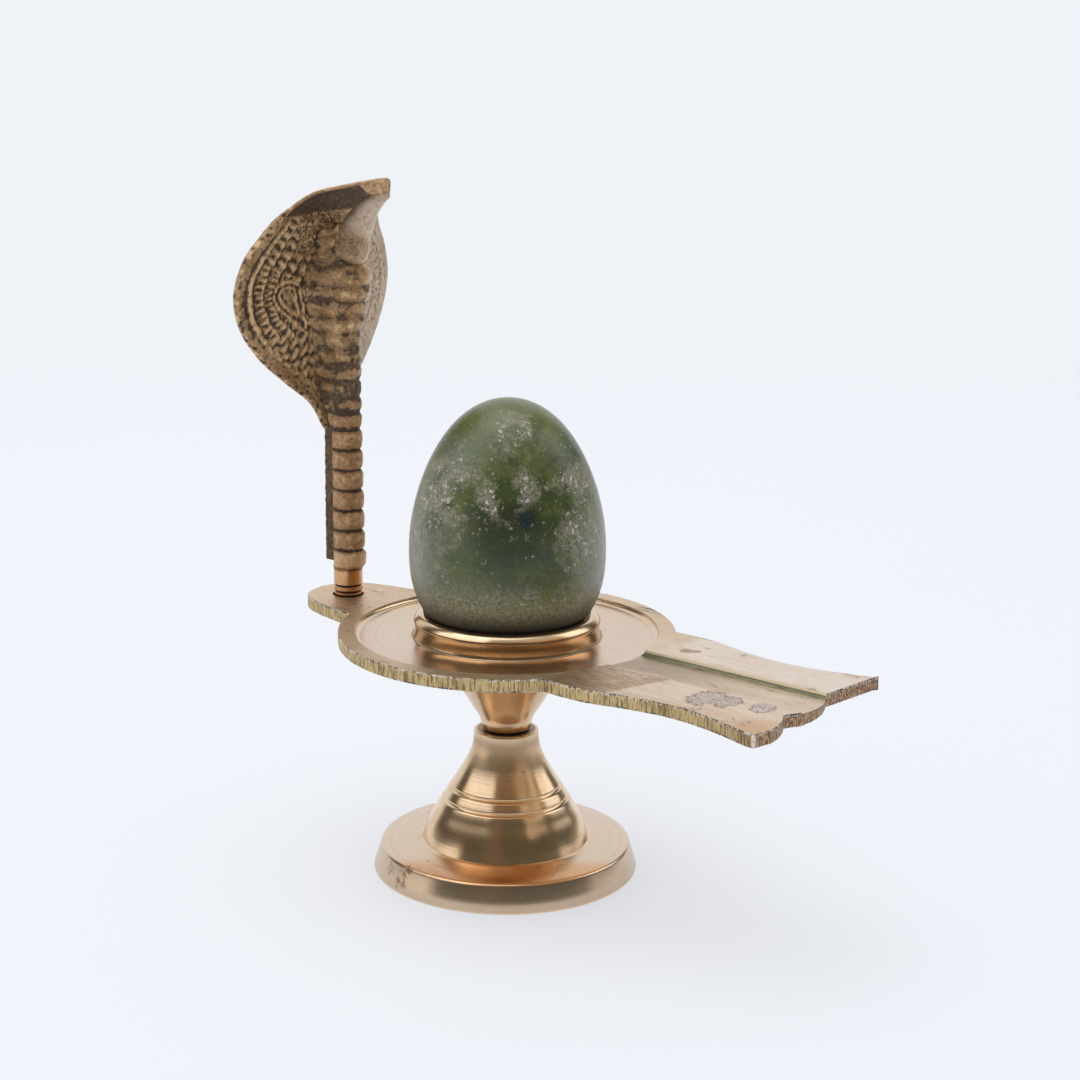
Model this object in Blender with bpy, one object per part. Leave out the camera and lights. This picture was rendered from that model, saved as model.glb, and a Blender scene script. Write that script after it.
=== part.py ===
"""A polished stone lingam in a brass yoni tray, on a turned brass foot, with a cast brass cobra behind it.

Metres, +Z up. The origin is the middle of the foot's underside. +X runs along the spout of the tray.
Every length in the constants is in millimetres, and MM turns it into metres.
"""

import math

import bmesh
import bpy
import numpy as np

MM = 0.001
GAP = 0.3

# Foot: a wide flange under a bell, bored from the top for the spigot of the tray.
FOOT_RADIUS = 24.75
FLANGE_TOP_RADIUS = 23.3
FLANGE_HEIGHT = 5.35
BELL_CURVE = [(15.65, 6.1), (14.57, 9.0), (11.65, 14.0), (7.94, 20.0), (6.23, 24.0), (6.0, 27.17)]
FOOT_TOP = 27.17
GROOVE_HEIGHTS = (14.08, 16.24)
GROOVE_DEPTH = 0.35
BORE_RADIUS = 3.3
BORE_BOTTOM = 15.5

# Tray: a cut plate with a turned recess and seat, and a waisted stem with a spigot below.
TRAY_UNDERSIDE = 44.1
TRAY_TOP = 46.5
TRAY_RADIUS = 31.25
RECESS_RADIUS = 28.2
RECESS_FLOOR = 45.5
COLLAR_RADIUS = 17.3
COLLAR_SHOULDER = 49.0
COLLAR_TOP = 50.0
STEM_CURVE = [(15.5, 44.3), (9.74, 37.0), (6.45, 32.0), (4.9, 29.3), (5.1, 27.47)]
SPIGOT_RADIUS = 3.0
SPIGOT_BOTTOM = 16.0
SPOUT_SIDE = [(24.6, 19.3), (33.0, 19.3), (41.5, 17.3), (49.5, 16.3), (58.0, 17.2), (68.2, 20.0)]
SPOUT_FAR_CORNER = (67.4, 20.8)
SPOUT_END = [(70.1, -17.0), (68.5, -11.4), (67.6, -9.1), (69.2, -3.5), (69.0, 0.0), (66.6, 6.2)]
CHANNEL_SECTION = [(-5.2, 45.6), (5.3, 45.6), (5.5, 46.05), (6.3, 46.1), (6.5, 47.5), (-5.4, 47.5)]
CHANNEL_START = 26.5
TAB_SIDE = [(-32.0, 10.3), (-38.0, 9.0), (-43.0, 7.1), (-45.6, 4.4), (-46.7, 0.0)]
TAB_ROOT_HALF = 10.6
TAB_MIDDLE = -1.5

# Stone: an egg with its blunt end down in the seat.
STONE_RADIUS = 18.1
STONE_WIDEST = 61.94
STONE_TOP = 89.9
STONE_BOTTOM = 42.6
STONE_POINT = 0.15

# Cobra: a round shank in the tab, a ringed body with a flat strip behind it, and a spread hood.
COBRA_X = -38.9
COBRA_Y = -1.84
SHANK_RADIUS = 2.77
SHANK_BOTTOM = 44.4
SHANK_TOP = 52.6
STRIP_BACK = -43.15
STRIP_HALF = 2.0
STRIP_BOTTOM = 53.2
STRIP_TOP = 86.0
RING_PITCH = 3.94
RING_START = 51.9
RING_COUNT = 7
RIB_PITCH = 3.04
RIB_COUNT = 11
# Stations up the body: height, middle x, reach forward, reach back, half width, squareness.
BODY_STATIONS = [
    (51.9, -38.7, 3.0, 2.9, 2.9, 2.0),
    (56.0, -38.7, 3.2, 3.0, 2.9, 2.0),
    (79.5, -38.9, 2.9, 3.0, 2.5, 2.2),
    (87.0, -39.4, 3.1, 4.5, 2.7, 2.5),
    (98.0, -39.8, 3.2, 4.6, 3.0, 2.7),
    (113.0, -39.7, 3.0, 4.4, 3.1, 2.4),
    (115.5, -40.4, 1.6, 3.4, 1.6, 2.2),
]
# Stations up the hood: edge x, half width, edge height, middle x, middle height.
HOOD_STATIONS = [
    (-43.0, 2.1, 79.0, -42.6, 79.0),
    (-44.1, 4.5, 83.9, -43.4, 84.0),
    (-45.5, 9.9, 88.6, -44.0, 89.0),
    (-47.0, 14.9, 93.4, -44.4, 94.0),
    (-47.9, 18.9, 99.4, -44.7, 100.0),
    (-47.7, 20.4, 106.0, -44.8, 107.0),
    (-46.7, 18.6, 112.4, -44.8, 114.0),
    (-44.9, 15.4, 116.9, -43.8, 119.0),
    (-42.1, 12.2, 120.5, -40.9, 122.3),
    (-38.7, 9.1, 123.0, -37.2, 124.6),
    (-34.5, 5.6, 124.9, -33.2, 125.6),
    (-28.6, 1.6, 126.2, -28.2, 126.4),
]
HOOD_HALF_THICKNESS = 0.85
BEAD_INSET = 2.5
BEAD_HEIGHT = 0.55
HEAD_START = (-40.6, 111.2)
HEAD_TIP = (-28.2, 125.3)
HEAD_PROFILE = [(0.0, 0.0), (0.04, 1.7), (0.16, 3.3), (0.34, 3.6), (0.6, 2.5), (0.85, 1.75), (0.97, 1.5), (1.0, 0.0)]
HEAD_WIDTH = 1.05

TURN_STEPS = 40


def clear_scene():
    for obj in list(bpy.data.objects):
        bpy.data.objects.remove(obj, do_unlink=True)


def brass(name, colour, roughness):
    material = bpy.data.materials.new(name)
    material.use_nodes = True
    shader = material.node_tree.nodes["Principled BSDF"]
    shader.inputs["Base Color"].default_value = (*colour, 1.0)
    shader.inputs["Metallic"].default_value = 1.0
    shader.inputs["Roughness"].default_value = roughness
    return material


def polished_stone():
    material = bpy.data.materials.new("green_stone")
    material.use_nodes = True
    shader = material.node_tree.nodes["Principled BSDF"]
    shader.inputs["Base Color"].default_value = (0.07, 0.1, 0.05, 1.0)
    shader.inputs["Roughness"].default_value = 0.25
    return material


def add_mesh(name, vertices, faces, material=None, helper=False):
    """Adds a closed mesh given in millimetres, with its faces turned outward."""
    shape = bmesh.new()
    points = [shape.verts.new([c * MM for c in v]) for v in vertices]
    for face in faces:
        shape.faces.new([points[i] for i in face])
    bmesh.ops.recalc_face_normals(shape, faces=shape.faces)
    mesh = bpy.data.meshes.new(name)
    shape.to_mesh(mesh)
    shape.free()
    obj = bpy.data.objects.new(name, mesh)
    bpy.context.collection.objects.link(obj)
    if material:
        mesh.materials.append(material)
    if helper:
        obj.hide_render = True
        obj.display_type = "WIRE"
    return obj


def combine(target, other, operation):
    modifier = target.modifiers.new(other.name, "BOOLEAN")
    modifier.object = other
    modifier.operation = operation
    modifier.solver = "EXACT"


def spline(points, per_span):
    """Catmull-Rom curve through the points, with per_span steps between neighbours."""
    stations = np.array(points, float)
    padded = np.vstack([2 * stations[0] - stations[1], stations, 2 * stations[-1] - stations[-2]])
    curve = []
    for i in range(len(stations) - 1):
        a, b, c, d = padded[i : i + 4]
        for step in range(per_span):
            t = step / per_span
            curve.append(
                0.5 * (2 * b + (c - a) * t + (2 * a - 5 * b + 4 * c - d) * t**2 + (3 * b - a - 3 * c + d) * t**3)
            )
    curve.append(stations[-1])
    return [tuple(float(v) for v in row) for row in curve]


def turned(name, profile, material=None, helper=False, middle=(0.0, 0.0), steps=TURN_STEPS):
    """Turns a (radius, height) profile about a vertical line. Points of radius 0 become single vertices."""
    vertices = []
    rows = []
    for radius, height in profile:
        if radius < 1e-6:
            rows.append([len(vertices)] * steps)
            vertices.append((middle[0], middle[1], height))
            continue
        rows.append(list(range(len(vertices), len(vertices) + steps)))
        for i in range(steps):
            angle = 2 * math.pi * i / steps
            x = middle[0] + radius * math.cos(angle)
            y = middle[1] + radius * math.sin(angle)
            vertices.append((x, y, height))
    faces = []
    for lower, upper in zip(rows, rows[1:]):
        for i in range(steps):
            j = (i + 1) % steps
            corners = [lower[i], lower[j], upper[j], upper[i]]
            face = list(dict.fromkeys(corners))
            if len(face) > 2:
                faces.append(face)
    return add_mesh(name, vertices, faces, material, helper)


def prism(name, outline, low, high, material=None, helper=False):
    """A plate with the given (x, y) outline between two heights."""
    count = len(outline)
    vertices = [(x, y, low) for x, y in outline] + [(x, y, high) for x, y in outline]
    faces = [list(range(count)), list(range(count, 2 * count))]
    for i in range(count):
        j = (i + 1) % count
        faces.append([i, j, count + j, count + i])
    return add_mesh(name, vertices, faces, material, helper)


def grid_faces(rows, columns, start=0, wrap=False):
    """Quads over a grid of vertices that is numbered row by row."""
    faces = []
    for r in range(rows - 1):
        for c in range(columns if wrap else columns - 1):
            d = (c + 1) % columns
            a = start + r * columns
            b = a + columns
            faces.append([a + c, a + d, b + d, b + c])
    return faces


def stone_profile(grow=0.0, steps=18):
    """Half outline of the egg from its lowest point to its tip, grown by a gap."""
    profile = []
    for i in range(steps + 1):
        t = math.sin(math.pi * (i / steps - 0.5))
        if t < 0:
            height = STONE_WIDEST + t * (STONE_WIDEST - STONE_BOTTOM)
            radius = STONE_RADIUS * math.sqrt(max(0.0, 1 - abs(t) ** 2.47))
        else:
            height = STONE_WIDEST + t * (STONE_TOP - STONE_WIDEST)
            radius = STONE_RADIUS * math.sqrt(max(0.0, 1 - t * t)) * (1 - STONE_POINT * t * t * (1 - t))
        profile.append((radius, height))
    grown = []
    for radius, height in profile:
        lift = (height - STONE_WIDEST) / (STONE_TOP - STONE_WIDEST if height > STONE_WIDEST else STONE_WIDEST - STONE_BOTTOM)
        at_tip = radius < 1e-6
        grown.append((0.0 if at_tip else radius + grow, height + grow * lift))
    return grown


def build_stone():
    return turned("lingam_stone", stone_profile(), polished_stone(), steps=36)


def build_foot():
    bell = spline(BELL_CURVE, 3)
    outline = [(0.0, 0.0), (FOOT_RADIUS - 0.5, 0.0), (FOOT_RADIUS, 0.5)]
    outline += [(FLANGE_TOP_RADIUS, FLANGE_HEIGHT - 0.3), (FLANGE_TOP_RADIUS - 0.3, FLANGE_HEIGHT), (15.9, 5.95)]
    for radius, height in bell[:-1]:
        if all(abs(height - groove) > 0.7 for groove in GROOVE_HEIGHTS):
            outline.append((radius, height))
    heights = [height for _, height in bell]
    radii = [radius for radius, _ in bell]
    for groove in GROOVE_HEIGHTS:
        for offset, depth in ((-0.35, 0.0), (0.0, GROOVE_DEPTH), (0.35, 0.0)):
            height = groove + offset
            outline.append((float(np.interp(height, heights, radii)) - depth, height))
    outline.sort(key=lambda point: (point[1], -point[0] if point[1] > 5.0 else point[0]))
    outline += [(6.0, FOOT_TOP - 0.15), (5.85, FOOT_TOP), (BORE_RADIUS, FOOT_TOP)]
    outline += [(BORE_RADIUS, BORE_BOTTOM), (0.0, BORE_BOTTOM)]
    return turned("foot", outline, brass("turned_brass", (0.72, 0.5, 0.26), 0.22))


def tray_outline():
    """Disc, spout and tab as one closed outline, anticlockwise from the near side of the spout's root."""
    side = spline(SPOUT_SIDE, 4)
    outline = [(x, -y) for x, y in side[:-1]] + [(69.0, -19.6)]
    outline += spline(SPOUT_END, 2)
    outline += [SPOUT_FAR_CORNER] + list(reversed(side[:-1]))
    tab = spline(TAB_SIDE, 3)
    far_y = TAB_MIDDLE + TAB_ROOT_HALF
    near_y = TAB_MIDDLE - TAB_ROOT_HALF
    spout_angle = math.atan2(SPOUT_SIDE[0][1], SPOUT_SIDE[0][0])
    far_angle = math.pi - math.asin(far_y / TRAY_RADIUS)
    near_angle = math.pi - math.asin(near_y / TRAY_RADIUS)
    outline += disc_arc(spout_angle, far_angle, 20)
    outline += [(x, TAB_MIDDLE + half) for x, half in tab]
    outline += [(x, TAB_MIDDLE - half) for x, half in reversed(tab[:-1])]
    outline += disc_arc(near_angle, 2 * math.pi - spout_angle, 20, closed=True)
    return outline


def disc_arc(start, end, steps, closed=False):
    """Points on the rim of the tray's disc after start and up to end, without the last one if closed."""
    points = []
    for i in range(0 if closed else 1, steps + (0 if closed else 1)):
        angle = start + (end - start) * i / steps
        points.append((TRAY_RADIUS * math.cos(angle), TRAY_RADIUS * math.sin(angle)))
    return points


def channel_cutter():
    """The groove that runs along the spout from the recess out past its end."""
    count = len(CHANNEL_SECTION)
    vertices = [(CHANNEL_START, y, z) for y, z in CHANNEL_SECTION] + [(75.0, y, z) for y, z in CHANNEL_SECTION]
    faces = [list(range(count)), list(range(count, 2 * count))]
    faces += [[i, (i + 1) % count, count + (i + 1) % count, count + i] for i in range(count)]
    return add_mesh("channel_cutter", vertices, faces, helper=True)


def build_tray():
    tray = prism("tray", tray_outline(), TRAY_UNDERSIDE, TRAY_TOP, brass("tray_brass", (0.66, 0.47, 0.26), 0.3))
    wall = [(0.0, RECESS_FLOOR), (RECESS_RADIUS - 0.95, RECESS_FLOOR), (RECESS_RADIUS - 0.55, RECESS_FLOOR + 0.12)]
    wall += [(RECESS_RADIUS - 0.15, RECESS_FLOOR + 0.5), (RECESS_RADIUS, TRAY_TOP + 0.02), (RECESS_RADIUS, 48.0), (0.0, 48.0)]
    combine(tray, turned("recess_cutter", wall, helper=True, steps=48), "DIFFERENCE")
    combine(tray, channel_cutter(), "DIFFERENCE")
    hole = [(0.0, 40.0), (SHANK_RADIUS + GAP, 40.0), (SHANK_RADIUS + GAP, 50.0), (0.0, 50.0)]
    combine(tray, turned("tab_hole", hole, helper=True, middle=(COBRA_X, COBRA_Y), steps=24), "DIFFERENCE")
    stem = [(0.0, SPIGOT_BOTTOM), (SPIGOT_RADIUS - 0.4, SPIGOT_BOTTOM), (SPIGOT_RADIUS, SPIGOT_BOTTOM + 0.4)]
    stem += [(SPIGOT_RADIUS, 27.47)] + list(reversed(spline(STEM_CURVE, 3)))
    stem += [(COLLAR_RADIUS + 0.5, 45.2), (COLLAR_RADIUS + 0.25, 45.65), (COLLAR_RADIUS, 46.1)]
    stem += [(COLLAR_RADIUS, COLLAR_SHOULDER), (COLLAR_RADIUS - 0.35, COLLAR_SHOULDER + 0.45)]
    stem += [(15.4, COLLAR_TOP), (0.0, COLLAR_TOP)]
    combine(tray, turned("seat_and_stem", stem, helper=True), "UNION")
    combine(tray, turned("seat_cutter", stone_profile(GAP), helper=True, steps=36), "DIFFERENCE")
    return tray


def body_section(station, swell, columns):
    """One ring of the body: a superellipse that reaches further back than forward."""
    height, middle, forward, back, half, square = station
    ring = []
    for i in range(columns):
        angle = 2 * math.pi * (i + 0.5) / columns
        c = math.copysign(abs(math.cos(angle)) ** (2 / square), math.cos(angle))
        s = math.copysign(abs(math.sin(angle)) ** (2 / square), math.sin(angle))
        reach = forward * swell if c > 0 else back
        ring.append((middle + reach * c, COBRA_Y + half * swell * s, height))
    return ring


def body_heights():
    """Heights up the body with the swell at each: full rings below, finer belly ribs on the hood."""
    rows = []
    for ring in range(RING_COUNT):
        low = RING_START + ring * RING_PITCH
        full = 1.12 if ring == 0 else 1.04
        rows += [(low, 0.88), (low + 0.9, full), (low + 2.6, full + 0.02), (low + 3.5, 0.99)]
    neck = RING_START + RING_COUNT * RING_PITCH
    for rib in range(RIB_COUNT):
        low = neck + rib * RIB_PITCH
        rows += [(low, 0.91), (low + 1.1, 1.03), (low + 2.3, 1.0)]
    rows += [(neck + RIB_COUNT * RIB_PITCH, 0.9), (BODY_STATIONS[-1][0], 0.9)]
    return rows


def build_body():
    """The ringed body and belly ridge as one lofted solid."""
    stations = np.array(BODY_STATIONS)
    vertices = []
    rows = body_heights()
    columns = 16
    for height, swell in rows:
        station = [height] + [float(np.interp(height, stations[:, 0], stations[:, k])) for k in range(1, 6)]
        vertices += body_section(station, swell, columns)
    faces = grid_faces(len(rows), columns, wrap=True)
    faces += [list(range(columns)), list(range((len(rows) - 1) * columns, len(rows) * columns))]
    return vertices, faces


def hood_columns(half):
    """Positions across the hood from one edge to the other, with points for the bead near each edge."""
    inset = min(BEAD_INSET, half * 0.4)
    near = [half, half - inset * 0.66, half - inset, half - inset * 1.34]
    inner = near[-1]
    right = near + [inner * share for share in (0.78, 0.52, 0.25)]
    return [-y for y in right] + [0.0] + right[::-1]


def build_hood():
    """A thin swept sheet, doubled front and back and closed round its edge."""
    rows = np.array(spline(HOOD_STATIONS, 2))
    middle = np.zeros((len(rows), 15, 3))
    lift = np.zeros((len(rows), 15))
    for r, (edge_x, half, edge_z, centre_x, centre_z) in enumerate(rows):
        for c, y in enumerate(hood_columns(half)):
            share = (y / half) ** 2
            middle[r, c] = (centre_x + (edge_x - centre_x) * share, y, centre_z + (edge_z - centre_z) * share)
        bead = BEAD_HEIGHT * min(1.0, half / 8.0)
        lift[r, 2] = lift[r, 12] = bead
        lift[r, 0] = lift[r, 14] = -0.35 * HOOD_HALF_THICKNESS
    along = np.gradient(middle, axis=0)
    across = np.gradient(middle, axis=1)
    normal = np.cross(across, along)
    normal /= np.linalg.norm(normal, axis=2, keepdims=True)
    front = middle + normal * (HOOD_HALF_THICKNESS + lift)[..., None]
    back = middle - normal * (HOOD_HALF_THICKNESS + np.minimum(lift, 0.0))[..., None]
    points = np.concatenate([front.reshape(-1, 3), back.reshape(-1, 3)])
    points[:, 1] += COBRA_Y
    count = len(rows)
    size = count * 15
    faces = grid_faces(count, 15) + grid_faces(count, 15, start=size)
    rim = list(range(15)) + [r * 15 + 14 for r in range(1, count)]
    rim += list(range(size - 2, size - 16, -1)) + [r * 15 for r in range(count - 2, 0, -1)]
    for i, a in enumerate(rim):
        b = rim[(i + 1) % len(rim)]
        faces.append([a, b, size + b, size + a])
    return add_mesh("hood_sheet", [tuple(map(float, p)) for p in points], faces, helper=True)


def build_head():
    """A teardrop that leans forward from the throat to the snout under the peak of the hood."""
    start = np.array([HEAD_START[0], 0.0, HEAD_START[1]])
    end = np.array([HEAD_TIP[0], 0.0, HEAD_TIP[1]])
    axis = end - start
    side = np.array([0.0, 1.0, 0.0])
    up = np.cross(axis, side) / np.linalg.norm(axis)
    columns = 14
    profile = spline(HEAD_PROFILE, 2)
    vertices = []
    for along, radius in profile[1:-1]:
        for i in range(columns):
            angle = 2 * math.pi * i / columns
            offset = side * (radius * HEAD_WIDTH * math.cos(angle)) + up * (radius * math.sin(angle))
            point = start + axis * along + offset
            vertices.append((point[0], point[1] + COBRA_Y, point[2]))
    rows = len(profile) - 2
    faces = grid_faces(rows, columns, wrap=True)
    faces += [list(range(columns)), list(range((rows - 1) * columns, rows * columns))]
    return add_mesh("head_shape", vertices, faces, helper=True)


def build_cobra():
    vertices, faces = build_body()
    cobra = add_mesh("cobra", vertices, faces, brass("cast_brass", (0.36, 0.24, 0.12), 0.45))
    strip = [(STRIP_BACK, -STRIP_HALF), (-39.0, -STRIP_HALF), (-39.0, STRIP_HALF), (STRIP_BACK, STRIP_HALF)]
    strip = [(x, y + COBRA_Y) for x, y in strip]
    combine(cobra, prism("back_strip", strip, STRIP_BOTTOM, STRIP_TOP, helper=True), "UNION")
    combine(cobra, build_hood(), "UNION")
    combine(cobra, build_head(), "UNION")
    r = SHANK_RADIUS
    shank = [(0.0, SHANK_BOTTOM), (r - 0.3, SHANK_BOTTOM), (r, SHANK_BOTTOM + 0.3), (r, 47.1)]
    shank += [(r - 0.3, 47.25), (r - 0.3, 47.45), (r, 47.6), (r, 48.3), (r - 0.3, 48.45), (r - 0.3, 48.65), (r, 48.8)]
    shank += [(r, SHANK_TOP), (0.0, SHANK_TOP)]
    combine(cobra, turned("shank", shank, helper=True, middle=(COBRA_X, COBRA_Y), steps=24), "UNION")
    return cobra


clear_scene()
build_foot()
build_tray()
build_stone()
build_cobra()
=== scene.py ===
"""A polished stone lingam in a brass yoni tray on a turned foot, with a cast cobra behind it.

Lengths are in millimetres in the tables below and in metres on every mesh.
"""

import math

import bmesh
import bpy
import numpy as np
from bpy.props import FloatProperty, FloatVectorProperty, PointerProperty
from bpy.types import Operator, Panel, PropertyGroup
from mathutils import Matrix, Vector, kdtree, noise


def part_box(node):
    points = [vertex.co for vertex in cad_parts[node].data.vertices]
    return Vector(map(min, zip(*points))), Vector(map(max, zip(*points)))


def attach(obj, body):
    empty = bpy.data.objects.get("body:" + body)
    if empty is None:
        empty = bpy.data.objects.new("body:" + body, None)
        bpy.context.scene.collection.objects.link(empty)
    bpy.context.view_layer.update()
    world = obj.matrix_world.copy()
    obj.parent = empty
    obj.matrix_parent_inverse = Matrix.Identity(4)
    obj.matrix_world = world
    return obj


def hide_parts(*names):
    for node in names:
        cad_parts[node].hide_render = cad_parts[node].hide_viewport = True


bl_info = {
    "name": "Stone Lingam on a Brass Stand",
    "version": (1, 0, 0),
    "blender": (4, 5, 0),
    "location": "View3D > Sidebar > Lingam",
    "description": "Adds a polished stone lingam in a brass tray with a foot and a cobra",
    "category": "Add Mesh",
}

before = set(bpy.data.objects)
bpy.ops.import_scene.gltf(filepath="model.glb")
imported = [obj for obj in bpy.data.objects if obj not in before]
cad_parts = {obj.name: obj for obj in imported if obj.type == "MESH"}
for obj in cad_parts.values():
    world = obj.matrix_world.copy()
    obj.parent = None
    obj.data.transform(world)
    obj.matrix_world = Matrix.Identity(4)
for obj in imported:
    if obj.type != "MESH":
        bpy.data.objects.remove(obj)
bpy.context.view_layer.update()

MM = 0.001
STONE_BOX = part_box("lingam_stone")
FOOT_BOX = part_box("foot")

# Foot and stem, as (radius, height).
FOOT_RADIUS = 24.75
FLANGE_TOP = 6.0
BELL_CURVE = [(15.65, 6.1), (15.0, 8.0), (14.12, 10.0), (13.0, 12.0), (11.8, 14.1)]
BELL_CURVE += [(8.1, 20.0), (7.05, 22.0), (6.45, 23.6), (6.12, 25.2), (6.0, 26.9)]
GROOVES = (14.08, 16.24)
STEM_CURVE = [(15.5, 44.3), (9.74, 37.0), (6.45, 32.0), (4.9, 29.3), (5.1, 27.47)]

# Tray, as (x, y) in plan and (y, z) across the channel.
TRAY_UNDERSIDE = 44.1
TRAY_TOP = 46.5
TRAY_RADIUS = 31.25
RECESS_RADIUS = 28.2
RECESS_FLOOR = 45.5
SPOUT_SIDE = [(24.6, 19.3), (33.0, 19.3), (41.5, 17.3), (49.5, 16.3), (58.0, 17.2), (68.2, 20.0)]
SPOUT_FAR_CORNER = (67.4, 20.8)
SPOUT_NEAR_CORNER = (69.1, -19.9)
SPOUT_END = [(69.5, -17.6), (69.8, -15.6), (69.3, -12.9), (68.4, -10.5), (67.4, -8.6)]
SPOUT_END += [(67.5, -7.3), (68.6, -5.2), (68.6, -1.5), (67.9, 2.2), (66.2, 6.0)]
CHANNEL_SECTION = [(-5.2, 46.3), (5.2, 45.6), (5.5, 46.0), (5.95, 46.12), (6.2, 46.52), (6.2, 47.5), (-5.4, 47.5)]
CHANNEL_START = 26.5
CHANNEL_END = 75.0
TAB_SIDE = [(-32.0, 10.3), (-38.0, 9.0), (-43.0, 7.1), (-45.6, 4.4), (-46.7, 0.0)]
TAB_ROOT_HALF = 10.6
TAB_MIDDLE = -1.5
OUTLINE_STEP = 0.16

# Stone, from its blunt end in the seat to its tip.
STONE_WIDEST = 61.94
STONE_TOP = 89.9
STONE_BOTTOM = 42.6
STONE_POINT = 0.15
STONE_BLUNTNESS = 2.47
# Room left between parts that fit into each other.
FIT_GAP = 0.3

# Cobra.
COBRA_X = -38.9
COBRA_Y = -1.84
SHANK_RADIUS = 2.77
RING_START = 51.9
BODY_TOP = 118.5
BODY_STEP = 0.2
RING_PITCH = 3.94
RING_COUNT = 7
RIB_PITCH = 3.04
RIB_COUNT = 10
# Stations up the body: height, middle x, reach forward, reach back, half width, squareness.
BODY_STATIONS = [
    (51.9, -38.7, 3.0, 2.9, 2.9, 2.0),
    (56.0, -38.7, 3.2, 3.0, 2.9, 2.0),
    (79.5, -38.9, 2.9, 3.0, 2.5, 2.2),
    (87.0, -39.4, 3.1, 4.5, 2.7, 2.5),
    (97.0, -39.8, 3.3, 4.6, 3.0, 2.6),
    (103.0, -39.8, 5.3, 4.6, 4.0, 2.2),
    (109.8, -39.8, 6.5, 4.6, 4.5, 2.1),
    (112.0, -40.2, 3.4, 4.2, 3.2, 2.2),
    (118.5, -40.4, 2.0, 3.6, 1.3, 2.2),
]
# Stations up the hood: edge x, half width, edge height, middle x, middle height.
HOOD_STATIONS = [
    (-43.0, 2.1, 79.0, -42.6, 79.0),
    (-44.1, 4.5, 83.9, -43.4, 84.0),
    (-45.5, 9.9, 88.6, -44.0, 89.0),
    (-47.0, 14.9, 93.4, -44.4, 94.0),
    (-47.9, 18.9, 99.4, -44.7, 100.0),
    (-47.7, 20.4, 106.0, -44.8, 107.0),
    (-46.7, 18.6, 112.4, -44.8, 114.0),
    (-44.9, 15.4, 116.9, -44.4, 118.9),
    (-42.1, 12.2, 121.2, -42.9, 122.2),
    (-38.7, 9.1, 124.4, -38.4, 125.0),
    (-34.5, 5.6, 125.8, -33.4, 126.3),
    (-28.6, 1.6, 127.2, -28.2, 127.4),
]
HOOD_HALF_THICKNESS = 0.85
BEAD_INSET = 2.8
SCALE_LENGTH = 2.35
SCALE_HEIGHT = 1.8
MARK_POINT = (5.8, 98.6)
MARK_MIDDLE = (9.4, 105.0)
MARK_RADIUS = 3.0
# Stations along the head from its chin to its snout: x, height, radius.
HEAD_STATIONS = [
    (-36.7, 110.9, 0.3),
    (-36.6, 111.3, 1.5),
    (-36.5, 112.1, 2.35),
    (-36.5, 113.5, 2.85),
    (-36.4, 115.7, 2.95),
    (-35.7, 117.8, 2.9),
    (-34.4, 119.6, 2.65),
    (-32.8, 121.7, 2.1),
    (-30.8, 123.3, 1.6),
    (-29.2, 124.3, 1.25),
    (-28.4, 124.8, 1.1),
    (-28.2, 124.9, 0.3),
]
# The hollow above the chin: which way it faces and how wide it is, in degrees round the head, then in height.
HOLLOW_TURN = (212, 80)
HOLLOW_HEIGHT = (115.2, 4.0)
STRIP_BACK = -43.15
STRIP_HALF = 2.0
STRIP_HEIGHTS = (53.2, 86.01, 0.3)

# The camera's place, what it looks at, and its roll in degrees.
CAMERA_PLACE = (275.47, -325.88, 172.0)
CAMERA_AIM = (3.26, 5.39, 62.99)
CAMERA_ROLL = 0.599
CAMERA_LENS = 80.0
# Ways in plan: towards the camera, and out to the left and right of the stone as it sees them, where the stone is given
# a painted sheen.
TO_CAMERA = (0.6348, -0.7727)
STONE_SIDES = ((-0.57, -0.82), (0.906, 0.42))
# The floor's size from the middle: to each side, behind the object, and in front of it.
FLOOR_SIZE = (3000, 700, 3000)
# Behind the object, where the floor starts and ends fading into the backdrop.
FLOOR_FADE = (380.0, 640.0)
# The surroundings' degrees in a radian, and how far the softboxes bow down towards their sides.
DEGREES = 57.3
SOFTBOX_BOW = 0.0021


def colour_property(name, description, default):
    return FloatVectorProperty(name=name, description=description, default=default, min=0.0, max=1.0, subtype="COLOR")


def length_property(name, description, default, low, high):
    return FloatProperty(
        name=name,
        description=description,
        default=default,
        min=low,
        max=high,
        unit="LENGTH",
        subtype="DISTANCE",
    )


class StoneSettings(PropertyGroup):
    radius: length_property("Radius", "Radius of the stone at its widest", STONE_BOX[1].x, 0.005, 0.05)
    green: colour_property("Green", "Main colour of the stone", (0.073, 0.095, 0.022))
    beige: colour_property("Beige", "Colour of the cloudy patches low on the stone", (0.31, 0.265, 0.19))
    fleck: colour_property("Flecks", "Colour of the small pale flecks", (0.5, 0.47, 0.43))


class BrassSettings(PropertyGroup):
    turned: colour_property("Turned brass", "Colour of the polished turned brass", (0.8, 0.59, 0.38))
    plate: colour_property("Plate brass", "Colour of the worn top of the tray", (0.76, 0.62, 0.47))
    sawn: colour_property("Sawn brass", "Colour of the sawn edges of the tray", (0.62, 0.48, 0.24))
    cast: colour_property("Cast brass", "Colour of the cast cobra", (0.6, 0.415, 0.235))
    # This colour is laid both as real grime and patina and as painted shade in corners, grooves and gaps.
    tarnish_and_shade: colour_property("Tarnish", "Colour of the dirt in hollows and corners", (0.03, 0.022, 0.016))
    foot_radius: length_property("Foot radius", "Radius of the foot's flange", FOOT_BOX[1].x, 0.01, 0.1)
    relief: length_property("Scale relief", "Height of the scales on the hood", 0.00055, 0.0, 0.002)


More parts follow.
